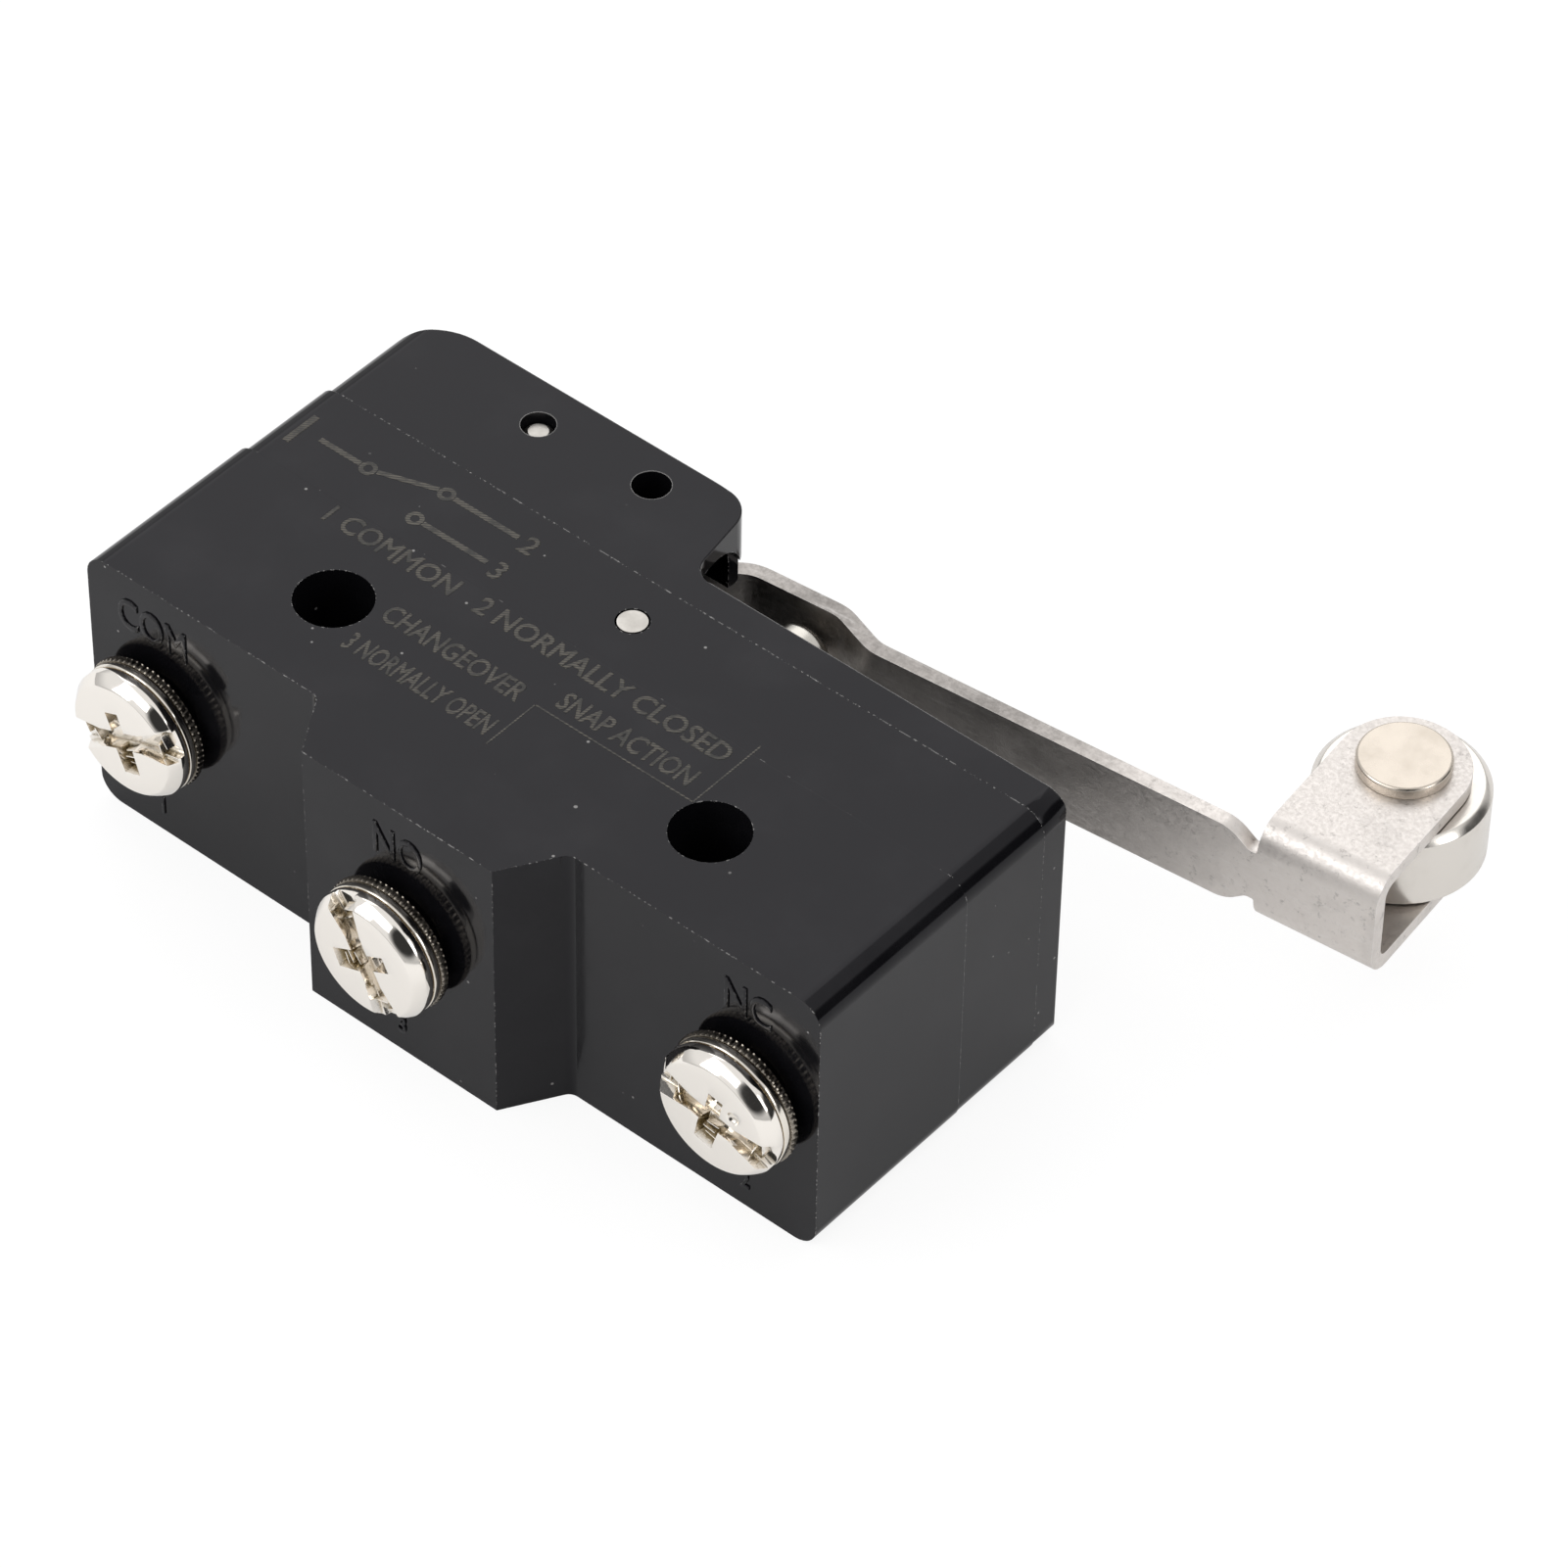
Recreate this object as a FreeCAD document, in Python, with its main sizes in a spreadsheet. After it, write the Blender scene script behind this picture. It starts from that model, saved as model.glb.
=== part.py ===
"""General-purpose snap-action switch with a long hinged roller lever.

Millimetres. The switch lies on its large flat side: z = 0 is that side, +X runs along
the body towards the roller, +Y points from the terminals towards the plunger and lever.
The origin is the axis of the left mounting hole, on the bottom side.
"""
import FreeCAD, Part, Sketcher

import math
import os

DRIVING_SIZES = {
    # Moulded body, with the mounting holes on y = 0
    "thickness": 17.45,
    "body_length": 49.45,
    "hole_pitch": 25.4,
    "hole_to_left_end": 12.0,
    "mounting_hole_radius": 2.15,
    "front_below_holes": 5.77,
    "pedestal_height": 3.42,
    "pedestal_root_width": 17.0,
    "pedestal_front_width": 12.8,
    "pedestal_root_fillet": 0.7,
    "witness_line_height": 5.5,
    "seam_height": 11.65,
    "end_step_left": 0.23,
    "end_step_right": 0.05,
    "end_round": 1.4,
    # Inside of the base
    "side_wall": 2.4,
    "cavity_floor_height": 3.6,
    "face_web": 1.0,
    # Cover, with the hinge hump at its left
    "cover_plate": 1.9,
    "hump_height": 5.95,
    "hump_foot": 12.56,
    "hump_lean": 0.99,
    "hump_round_left": 3.9,
    "hump_round_right": 2.0,
    "hump_foot_fillet": 1.4,
    "cover_corner_round": 0.25,
    "lever_slot_left": 3.4,
    "lever_slot_floor": 0.6,
    "lever_slot_clearance": 0.3,
    "mouth_depth": 1.8,
    "mouth_width": 11.25,
    "arch_depth": 3.4,
    "arch_width": 15.35,
    "arch_reach": 4.95,
    "arch_round": 3.0,
    "spare_hole_spacing": 7.53,
    "spare_hole_rise": 0.38,
    "spare_hole_radius": 1.07,
    # Cover pins, each through one side wall of the base and a tab of the cover
    "cover_pin_place": 12.6,
    "cover_pin_height": 8.8,
    "cover_pin_radius": 0.83,
    "cover_pin_clearance": 0.1,
    "tab_width": 6.0,
    "tab_thickness": 1.2,
    "tab_reach": 1.8,
    "seat_clearance": 0.05,
    # Lever: one folded strip of stainless sheet, drawn in its own frame about the hinge pin
    "hinge_place": -0.9,
    "hinge_height": 16.75,
    "hinge_pin_radius": 0.9,
    "hinge_pin_clearance": 0.06,
    "hinge_pin_sink": 0.45,
    "hinge_pin_chamfer": 0.33,
    "lever_rest_angle": 5.67,
    "lever_travel": 11.5,
    "sheet": 0.9,
    "strip_width": 5.2,
    "bend_radius": 2.5,
    "fold_radius": 1.6,
    "hub_reach": 1.75,
    "hub_level": 1.5,
    "shoulder_level": 2.905,
    "strip_level": 1.667,
    "shoulder_knee": 11.88,
    "shoulder_rise": 32.0,
    "joggle_knee": 17.53,
    "joggle_fall": 24.0,
    "axle_along": 47.71,
    "axle_above": 9.51,
    "ear_radius": 3.55,
    "relief_length": 1.7,
    "relief_depth": 0.95,
    "relief_land": 0.5,
    # Roller and the rivet it turns on
    "roller_radius": 4.7,
    "roller_width": 4.8,
    "roller_chamfer": 0.4,
    "roller_side_clearance": 0.1,
    "axle_radius": 1.5,
    "axle_clearance": 0.06,
    "axle_head_radius": 2.53,
    "axle_head_thickness": 0.72,
    "axle_head_chamfer": 0.12,
    "axle_tail_radius": 2.1,
    "axle_tail_thickness": 0.5,
    # Plunger, a metal cap that slides in the cover over a spring and a pusher
    "plunger_place": 15.0,
    "plunger_radius": 2.0,
    "plunger_clearance": 0.08,
    "plunger_crown_radius": 0.8,
    "plunger_crown_height": 0.94,
    "plunger_gap": 0.1,
    "plunger_flange_radius": 2.7,
    "plunger_flange": 0.55,
    "plunger_bore_radius": 1.45,
    "plunger_roof": 2.15,
    "pusher_foot_radius": 1.35,
    "pusher_foot": 0.6,
    "pusher_stem_radius": 0.75,
    "pusher_stem_length": 7.7,
    "pusher_gap": 0.1,
    "spring_radius": 1.1,
    "spring_wire_radius": 0.15,
    "spring_turns": 4.0,
    # Snap blade and contacts
    "blade_height": 7.0,
    "blade_thickness": 0.3,
    "blade_width": 7.4,
    "leaf_width": 3.4,
    "leg_width": 1.5,
    "blade_travel": 1.72,
    "blade_overhang": 1.7,
    "leg_root_place": 26.0,
    "leg_bow": 1.1,
    "leg_foot_height": 5.6,
    "leg_gap": 0.15,
    "contact_place": 29.5,
    "contact_radius": 1.6,
    "contact_head": 0.65,
    "contact_shank_radius": 0.8,
    "contact_gap": 0.05,
    "contact_margin": 0.1,
    "plate_margin": 0.4,
    "rivet_clearance": 0.02,
    # Brass terminals
    "terminal_offset": 7.42,
    "terminal_block_width": 4.9,
    "terminal_block_height": 2.8,
    "terminal_depth": 6.9,
    "terminal_strap": 0.8,
    "anchor_place": 4.9,
    "anchor_height": 6.35,
    # Terminal screws and their washers, measured outwards from the face they stand on
    "screw_radius": 1.98,
    "screw_hole_clearance": 0.14,
    "screw_thread_clearance": 0.02,
    "screw_reach": 3.6,
    "head_radius": 3.8,
    "head_rim": 0.55,
    "head_bevel": 0.35,
    "head_bevel_height": 0.65,
    "slot_width": 1.1,
    "slot_depth": 0.72,
    "cross_span": 3.3,
    "cross_depth": 1.5,
    "slot_turn_common": 22.0,
    "slot_turn_open": -70.0,
    "slot_turn_closed": -10.0,
    "washer_stand_off": 0.62,
    "washer_bore_radius": 2.15,
    "tooth_washer_radius": 3.93,
    "tooth_washer": 0.5,
    "tooth_depth": 0.16,
    "spring_washer_radius": 3.83,
    "spring_washer": 0.45,
    "spring_washer_split": 0.35,
}
TOOTH_COUNT = 9
WIRE_SIDES = 4
CUT_MARGIN = 5.0
FULL_ROUND_GAP = 0.01


class Size:
    """A length or angle that knows its value and its expression in the spreadsheet."""

    def __init__(self, text, value):
        self.text = text
        self.value = value

    def __add__(self, other):
        other = as_size(other)
        return Size(f"({self.text} + {other.text})", self.value + other.value)

    def __sub__(self, other):
        other = as_size(other)
        return Size(f"({self.text} - {other.text})", self.value - other.value)

    def __mul__(self, other):
        other = as_size(other)
        return Size(f"({self.text} * {other.text})", self.value * other.value)

    def __truediv__(self, other):
        other = as_size(other)
        return Size(f"({self.text} / {other.text})", self.value / other.value)

    def __neg__(self):
        return Size(f"(0 - {self.text})", -self.value)

    def __radd__(self, other):
        return as_size(other) + self

    def __rsub__(self, other):
        return as_size(other) - self

    def __rmul__(self, other):
        return as_size(other) * self


def as_size(number):
    """Wrap a plain number, and pass a Size through."""
    if isinstance(number, Size):
        return number
    return Size(f"{number:g}", float(number))


def sine(angle):
    """Sine of an angle in degrees."""
    return Size(f"sin({angle.text} * 1 deg)", math.sin(math.radians(angle.value)))


def cosine(angle):
    """Cosine of an angle in degrees."""
    return Size(f"cos({angle.text} * 1 deg)", math.cos(math.radians(angle.value)))


def tangent(angle):
    """Tangent of an angle in degrees."""
    return Size(f"tan({angle.text} * 1 deg)", math.tan(math.radians(angle.value)))


def make_sheet(document):
    """Write every driving size to the spreadsheet and return them by name."""
    sheet = document.addObject("Spreadsheet::Sheet", "Sizes")
    sizes = {}
    for row, (name, value) in enumerate(DRIVING_SIZES.items(), start=1):
        sheet.set(f"A{row}", name)
        sheet.set(f"B{row}", str(value))
        sheet.setAlias(f"B{row}", name)
        sizes[name] = Size(f"Sizes.{name}", float(value))
    document.recompute()
    return sizes


document = FreeCAD.newDocument("LeverSwitch")
size = make_sheet(document)


# Sketch and feature helpers

def bind(target, property_name, value):
    """Bind a property to an expression of the spreadsheet's sizes."""
    target.setExpression(property_name, as_size(value).text)


def new_body(name):
    """Add an empty body whose label names its file."""
    body = document.addObject("PartDesign::Body", name)
    body.Label = name
    return body


def place(target, x=0, y=0, z=0):
    """Bind a sub-part's position."""
    bind(target, "Placement.Base.x", x)
    bind(target, "Placement.Base.y", y)
    bind(target, "Placement.Base.z", z)


def new_sketch(body, role, offset=0):
    """Add a sketch on one of the body's own origin planes, moved along its normal."""
    sketch = body.newObject("Sketcher::SketchObject", "Sketch")
    support = [f for f in body.Origin.OriginFeatures if f.Role == role][0]
    sketch.AttachmentSupport = [(support, "")]
    sketch.MapMode = "FlatFace"
    bind(sketch, "AttachmentOffset.Base.z", offset)
    return sketch


def pin_point(sketch, edge, end, corner):
    """Fix one end of an edge at a corner given by two sizes."""
    for kind, value in zip(("DistanceX", "DistanceY"), corner):
        value = as_size(value)
        index = sketch.addConstraint(Sketcher.Constraint(kind, -1, 1, edge, end, value.value))
        bind(sketch, f"Constraints[{index}]", value)


def arc_between(start, end, radius, turn):
    """Arc between two points, drawn anticlockwise as the sketcher stores it.

    Turn +1 bulges to the right of the way from start to end, and -1 to its left.
    """
    chord = end - start
    half = chord.Length / 2
    normal = FreeCAD.Vector(chord.y, -chord.x, 0).normalize()
    rise = radius - math.sqrt(max(radius * radius - half * half, 0))
    middle = (start + end) * 0.5 + normal * (turn * rise)
    return Part.Arc(start, middle, end) if turn > 0 else Part.Arc(end, middle, start)


def outline(sketch, corners, arcs=None):
    """Draw a closed outline through corners; arcs maps an edge to its (radius, turn)."""
    arcs = arcs or {}
    points = [FreeCAD.Vector(as_size(x).value, as_size(y).value, 0) for x, y in corners]
    count = len(points)
    edges = []
    ends = []
    for index in range(count):
        start, end = points[index], points[(index + 1) % count]
        line = Part.LineSegment(start, end)
        turn = 1
        if index in arcs:
            radius, turn = arcs[index]
            line = arc_between(start, end, as_size(radius).value, turn)
        edges.append(sketch.addGeometry(line, False))
        ends.append((1, 2) if turn > 0 else (2, 1))
    for index in range(count):
        following = (index + 1) % count
        sketch.addConstraint(Sketcher.Constraint(
            "Coincident", edges[index], ends[index][1], edges[following], ends[following][0]))
    for index in range(count):
        pin_point(sketch, edges[index], ends[index][0], corners[index])
        if index in arcs:
            radius = as_size(arcs[index][0])
            constraint = sketch.addConstraint(Sketcher.Constraint("Radius", edges[index], radius.value))
            bind(sketch, f"Constraints[{constraint}]", radius)
    return sketch


def rectangle(sketch, left, low, right, high):
    """Draw a rectangle."""
    return outline(sketch, [(left, low), (right, low), (right, high), (left, high)])


def rounded_rectangle(sketch, left, low, right, high, radii):
    """Draw a rectangle whose corners, from low left round to high left, have radii."""
    a, b, c, d = radii
    corners = [(left + a, low), (right - b, low), (right, low + b), (right, high - c),
               (right - c, high), (left + d, high), (left, high - d), (left, low + a)]
    return outline(sketch, corners, {1: (b, 1), 3: (c, 1), 5: (d, 1), 7: (a, 1)})


def circle(sketch, x, y, radius):
    """Draw a circle."""
    centre = FreeCAD.Vector(as_size(x).value, as_size(y).value, 0)
    edge = sketch.addGeometry(
        Part.Circle(centre, FreeCAD.Vector(0, 0, 1), as_size(radius).value), False)
    pin_point(sketch, edge, 3, (x, y))
    index = sketch.addConstraint(Sketcher.Constraint("Radius", edge, as_size(radius).value))
    bind(sketch, f"Constraints[{index}]", radius)
    return sketch


def extrude(body, kind, sketch, length, middle=False, backwards=False):
    """Pad or pocket a sketch, and check that the volume went the right way."""
    before = body.Shape.Volume if body.Tip else 0
    feature = body.newObject(f"PartDesign::{kind}", kind)
    feature.Profile = (sketch, [""])
    feature.Midplane = middle
    feature.Reversed = backwards
    bind(feature, "Length", length)
    document.recompute()
    change = body.Shape.Volume - before
    if (change <= 0) == (kind == "Pad"):
        raise ValueError(f"{body.Label}: {kind} changed the volume by {change:.3f}")
    return feature


def pad(body, sketch, length, **options):
    """Add material."""
    return extrude(body, "Pad", sketch, length, **options)


def pocket(body, sketch, length, **options):
    """Remove material."""
    return extrude(body, "Pocket", sketch, length, **options)


def revolve(body, sketch):
    """Turn a sketch round its vertical axis."""
    feature = body.newObject("PartDesign::Revolution", "Revolution")
    feature.Profile = (sketch, [""])
    feature.ReferenceAxis = (sketch, ["V_Axis"])
    feature.Angle = 360
    document.recompute()
    return feature


def straight_edges(shape, axis, places):
    """Names of the straight edges along axis that pass through the given places.

    A place holds the two coordinates across the axis, in X, Y, Z order.
    """
    direction = {"x": FreeCAD.Vector(1, 0, 0), "y": FreeCAD.Vector(0, 1, 0),
                 "z": FreeCAD.Vector(0, 0, 1)}[axis]
    across = {"x": (1, 2), "y": (0, 2), "z": (0, 1)}[axis]
    wanted = [tuple(as_size(value).value for value in one) for one in places]
    names = []
    for index, edge in enumerate(shape.Edges, start=1):
        if edge.Curve.TypeId != "Part::GeomLine":
            continue
        if abs(abs(edge.Curve.Direction.dot(direction)) - 1) > 1e-6:
            continue
        middle = edge.CenterOfMass
        here = (middle[across[0]], middle[across[1]])
        if any(abs(here[0] - one[0]) < 1e-3 and abs(here[1] - one[1]) < 1e-3 for one in wanted):
            names.append(f"Edge{index}")
    if not names:
        raise ValueError(f"no edge along {axis} at {wanted}")
    return names


def dress(body, kind, axis, places, amount):
    """Fillet or chamfer the straight edges along axis at places, in the body's frame."""
    tip = body.Tip
    names = straight_edges(tip.Shape, axis, places)
    feature = body.newObject(f"PartDesign::{kind}", kind)
    feature.Base = (tip, names)
    bind(feature, {"Fillet": "Radius", "Chamfer": "Size"}[kind], amount)
    document.recompute()
    if feature.Shape.isNull() or "Invalid" in feature.State:
        raise ValueError(f"{body.Label}: {kind} at {places[0]} failed")
    return feature


# Places that several pieces share

middle_height = size["thickness"] / 2
body_left = -size["hole_to_left_end"]
body_right = body_left + size["body_length"]
front_face = -size["front_below_holes"]
pedestal_face = front_face - size["pedestal_height"]
pedestal_centre = size["hole_pitch"] / 2
cover_left = body_left + size["end_step_left"] * 2
cover_right = body_right - size["end_step_right"] * 2
cover_top = size["seam_height"] + size["cover_plate"]
hump_top = cover_top + size["hump_height"]
common_place = -size["terminal_offset"]
open_place = pedestal_centre
closed_place = size["hole_pitch"] + size["terminal_offset"]
shaft_half = size["terminal_block_width"] / 2 + size["seat_clearance"]
block_half = size["terminal_block_width"] / 2
pivot_place = common_place + block_half - size["terminal_strap"] / 2
closed_plate = (size["blade_height"] + size["blade_thickness"] / 2 + size["contact_head"]
                + size["contact_gap"] + size["contact_head"])


def trim_ends(body, left, right, start, length):
    """Cut away all that lies outside the rounded end profile, over a length along Y."""
    sketch = new_sketch(body, "XZ_Plane", -start)
    rectangle(sketch, left - CUT_MARGIN, -CUT_MARGIN, right + CUT_MARGIN, size["thickness"] + CUT_MARGIN)
    rounded_rectangle(sketch, left, 0, right, size["thickness"], [size["end_round"]] * 4)
    pocket(body, sketch, length, backwards=True)


def make_base():
    """Moulded base: outline with the pedestal, cavity, terminal shafts and holes."""
    body = new_body("base")
    upper_left, upper_right = body_left + size["end_step_left"], body_right - size["end_step_right"]
    root_half = size["pedestal_root_width"] / 2
    front_half = size["pedestal_front_width"] / 2
    witness, seam = size["witness_line_height"], size["seam_height"]
    sketch = new_sketch(body, "XY_Plane")
    outline(sketch, [
        (body_left, front_face), (pedestal_centre - root_half, front_face),
        (pedestal_centre - front_half, pedestal_face), (pedestal_centre + front_half, pedestal_face),
        (pedestal_centre + root_half, front_face), (body_right, front_face),
        (body_right, witness), (upper_right, witness), (upper_right, seam),
        (upper_left, seam), (upper_left, witness), (body_left, witness)])
    pad(body, sketch, size["thickness"])
    dress(body, "Fillet", "z", [(pedestal_centre - root_half, front_face),
                                (pedestal_centre + root_half, front_face)], size["pedestal_root_fillet"])
    trim_ends(body, body_left, body_right, witness, witness - pedestal_face)
    trim_ends(body, upper_left, upper_right, seam, seam - witness)

    sketch = new_sketch(body, "XZ_Plane", -seam)
    rectangle(sketch, common_place - shaft_half, size["side_wall"],
              closed_place + shaft_half, size["thickness"] - size["side_wall"])
    pocket(body, sketch, seam - size["cavity_floor_height"], backwards=True)

    half_depth = size["terminal_depth"] / 2 + size["seat_clearance"]
    for centre, face in ((common_place, front_face), (closed_place, front_face),
                         (open_place, pedestal_face)):
        sketch = new_sketch(body, "XZ_Plane", -size["cavity_floor_height"])
        rectangle(sketch, centre - shaft_half, middle_height - half_depth,
                  centre + shaft_half, middle_height + half_depth)
        pocket(body, sketch, size["cavity_floor_height"] - face - size["face_web"], backwards=True)
        sketch = new_sketch(body, "XZ_Plane", -face)
        circle(sketch, centre, middle_height, size["screw_radius"] + size["screw_hole_clearance"])
        pocket(body, sketch, size["face_web"])

    sketch = new_sketch(body, "XY_Plane")
    circle(sketch, 0, 0, size["mounting_hole_radius"])
    circle(sketch, size["hole_pitch"], 0, size["mounting_hole_radius"])
    circle(sketch, size["cover_pin_place"], size["cover_pin_height"],
           size["cover_pin_radius"] + size["cover_pin_clearance"])
    pocket(body, sketch, size["thickness"], backwards=True)
    return body


def make_cover():
    """Moulded cover: plate, hinge hump with the lever's slot, plunger bore and tabs."""
    body = new_body("cover")
    seam = size["seam_height"]
    hump_right = size["hump_foot"] - size["hump_lean"]
    sketch = new_sketch(body, "XY_Plane")
    outline(sketch, [(cover_left, seam), (cover_right, seam), (cover_right, cover_top),
                     (size["hump_foot"], cover_top), (hump_right, hump_top), (cover_left, hump_top)])
    pad(body, sketch, size["thickness"])
    for corner, radius in (((cover_left, hump_top), "hump_round_left"),
                           ((hump_right, hump_top), "hump_round_right"),
                           ((size["hump_foot"], cover_top), "hump_foot_fillet"),
                           ((cover_right, cover_top), "cover_corner_round")):
        dress(body, "Fillet", "z", [corner], size[radius])
    trim_ends(body, cover_left, cover_right, hump_top, hump_top - seam)

    beyond = size["hump_foot"] + CUT_MARGIN
    above = hump_top + CUT_MARGIN
    slot_half = size["strip_width"] / 2 + size["lever_slot_clearance"]
    for left, floor, half_width in (
            (size["hinge_place"] - size["lever_slot_left"], cover_top + size["lever_slot_floor"], slot_half),
            (size["hump_foot"] - size["mouth_depth"], cover_top, size["mouth_width"] / 2)):
        sketch = new_sketch(body, "XY_Plane", middle_height - half_width)
        rectangle(sketch, left, floor, beyond, above)
        pocket(body, sketch, half_width * 2, backwards=True)
    arch_low, arch_high = middle_height - size["arch_width"] / 2, middle_height + size["arch_width"] / 2
    arch_top, arch_round = cover_top + size["arch_reach"], size["arch_round"]
    sketch = new_sketch(body, "YZ_Plane", size["hump_foot"] - size["arch_depth"])
    outline(sketch, [(cover_top, arch_low), (arch_top - arch_round, arch_low),
                     (arch_top, arch_low + arch_round), (arch_top, arch_high - arch_round),
                     (arch_top - arch_round, arch_high), (cover_top, arch_high)],
            {1: (arch_round, 1), 3: (arch_round, 1)})
    pocket(body, sketch, size["arch_depth"] + CUT_MARGIN, backwards=True)

    sketch = new_sketch(body, "XZ_Plane", -cover_top)
    circle(sketch, size["plunger_place"], middle_height, size["plunger_radius"] + size["plunger_clearance"])
    pocket(body, sketch, size["cover_plate"], backwards=True)

    tab_left = size["cover_pin_place"] - size["tab_width"] / 2
    tab_low = size["cover_pin_height"] - size["tab_reach"]
    inner_wall = size["side_wall"] + size["seat_clearance"]
    for level in (inner_wall, size["thickness"] - inner_wall - size["tab_thickness"]):
        sketch = new_sketch(body, "XY_Plane", level)
        rectangle(sketch, tab_left, tab_low, tab_left + size["tab_width"], seam)
        pad(body, sketch, size["tab_thickness"])

    hinge_hole = size["hinge_pin_radius"] + size["hinge_pin_clearance"]
    sketch = new_sketch(body, "XY_Plane")
    circle(sketch, size["hinge_place"], size["hinge_height"], hinge_hole)
    circle(sketch, size["hinge_place"] + size["spare_hole_spacing"],
           size["hinge_height"] + size["spare_hole_rise"], size["spare_hole_radius"])
    circle(sketch, size["cover_pin_place"], size["cover_pin_height"],
           size["cover_pin_radius"] + size["cover_pin_clearance"])
    pocket(body, sketch, size["thickness"], backwards=True)
    return body


def make_hinge_pin():
    """Hinge pin of the lever, with chamfered ends sunk a little below the case's sides."""
    body = new_body("lever_pin")
    radius, chamfer = size["hinge_pin_radius"], size["hinge_pin_chamfer"]
    length = size["thickness"] - size["hinge_pin_sink"] * 2
    sketch = new_sketch(body, "XZ_Plane")
    outline(sketch, [(0, 0), (radius - chamfer, 0), (radius, chamfer), (radius, length - chamfer),
                     (radius - chamfer, length), (0, length)])
    revolve(body, sketch)
    place(body, size["hinge_place"], size["hinge_height"], size["hinge_pin_sink"])


def make_cover_pins():
    """The two plain pins that hold the cover, each flush with its side of the case."""
    length = size["side_wall"] + size["seat_clearance"] + size["tab_thickness"]
    for name, low in (("cover_pin_lower", as_size(0)), ("cover_pin_upper", size["thickness"] - length)):
        body = new_body(name)
        sketch = new_sketch(body, "XY_Plane")
        circle(sketch, 0, 0, size["cover_pin_radius"])
        pad(body, sketch, length)
        place(body, size["cover_pin_place"], size["cover_pin_height"], low)


def strip_profile(tip):
    """Corners of the lever's side view: its lower face, then its upper face back."""
    knees = [(size["shoulder_knee"] - (size["shoulder_level"] - size["hub_level"])
              / tangent(size["shoulder_rise"]), size["hub_level"], as_size(0), size["shoulder_rise"]),
             (size["shoulder_knee"], size["shoulder_level"], size["shoulder_rise"], as_size(0)),
             (size["joggle_knee"], size["shoulder_level"], as_size(0), -size["joggle_fall"]),
             (size["joggle_knee"] + (size["shoulder_level"] - size["strip_level"])
              / tangent(size["joggle_fall"]), size["strip_level"], -size["joggle_fall"], as_size(0))]
    half = size["sheet"] / 2
    sides = {}
    for side in (-1, 1):
        chain = [(-size["hub_reach"], size["hub_level"] + half * side)]
        for along, level, before, after in knees:
            mean = (before + after) / 2
            reach = half * side / cosine((after - before) / 2)
            chain.append((along - reach * sine(mean), level + reach * cosine(mean)))
        chain.append((tip, size["strip_level"] + half * side))
        sides[side] = chain
    return sides[-1], sides[1]


def make_lever():
    """Folded lever: hub with two lugs, joggled strip, and a clevis for the roller."""
    body = new_body("lever")
    half = size["sheet"] / 2
    ear_left = size["axle_along"] - size["ear_radius"]
    ear_right = size["axle_along"] + size["ear_radius"]
    web_low = size["strip_level"] - half
    ear_top = size["axle_above"] + size["ear_radius"]
    gap_half = size["roller_width"] / 2 + size["roller_side_clearance"]
    fold_half = gap_half + size["sheet"]
    sketch = new_sketch(body, "YZ_Plane", ear_left)
    outline(sketch, [(web_low, -fold_half), (ear_top, -fold_half), (ear_top, -gap_half),
                     (web_low + size["sheet"], -gap_half), (web_low + size["sheet"], gap_half),
                     (ear_top, gap_half), (ear_top, fold_half), (web_low, fold_half)])
    pad(body, sketch, ear_right - ear_left)
    dress(body, "Fillet", "x", [(web_low, -fold_half), (web_low, fold_half)], size["fold_radius"])
    dress(body, "Fillet", "x", [(web_low + size["sheet"], -gap_half), (web_low + size["sheet"], gap_half)],
          size["fold_radius"] - size["sheet"])
    dress(body, "Fillet", "z", [(ear_left, ear_top), (ear_right, ear_top)], size["ear_radius"] - FULL_ROUND_GAP)

    lower, upper = strip_profile(ear_left)
    sketch = new_sketch(body, "XY_Plane")
    outline(sketch, lower + upper[::-1])
    pad(body, sketch, size["strip_width"], middle=True)
    inner, outer = size["bend_radius"] - half, size["bend_radius"] + half
    dress(body, "Fillet", "z", [lower[1], upper[2], upper[3], lower[4]], outer)
    dress(body, "Fillet", "z", [upper[1], lower[2], lower[3], upper[4]], inner)

    lug_half = size["strip_width"] / 2
    hub_top = size["hub_level"] + half
    reach = size["hub_reach"]
    sketch = new_sketch(body, "YZ_Plane", -reach)
    lug_inner = lug_half - size["sheet"]
    outline(sketch, [(-reach, -lug_half), (hub_top, -lug_half), (hub_top, lug_half), (-reach, lug_half),
                     (-reach, lug_inner), (hub_top - size["sheet"], lug_inner),
                     (hub_top - size["sheet"], -lug_inner), (-reach, -lug_inner)])
    pad(body, sketch, reach * 2)
    dress(body, "Fillet", "z", [(-reach, -reach), (reach, -reach)], reach - FULL_ROUND_GAP)

    sketch = new_sketch(body, "XY_Plane")
    circle(sketch, 0, 0, size["hinge_pin_radius"] + size["hinge_pin_clearance"])
    circle(sketch, size["axle_along"], size["axle_above"], size["axle_radius"] + size["rivet_clearance"])
    pocket(body, sketch, fold_half * 2, middle=True)

    relief_half = lug_half - size["relief_depth"]
    relief_left = ear_left - size["relief_length"]
    for side in (-1, 1):
        sketch = new_sketch(body, "XZ_Plane")
        outline(sketch, [(relief_left, lug_half * side), (ear_left - size["relief_land"], relief_half * side),
                         (ear_left, relief_half * side), (ear_left, (lug_half + CUT_MARGIN) * side),
                         (relief_left, (lug_half + CUT_MARGIN) * side)])
        pocket(body, sketch, size["axle_above"] * 2, middle=True)

    place(body, size["hinge_place"], size["hinge_height"], middle_height)
    body.Placement.Rotation = FreeCAD.Rotation(FreeCAD.Vector(0, 0, 1), 1)
    bind(body, "Placement.Rotation.Angle", size["lever_rest_angle"])
    return body


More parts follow.
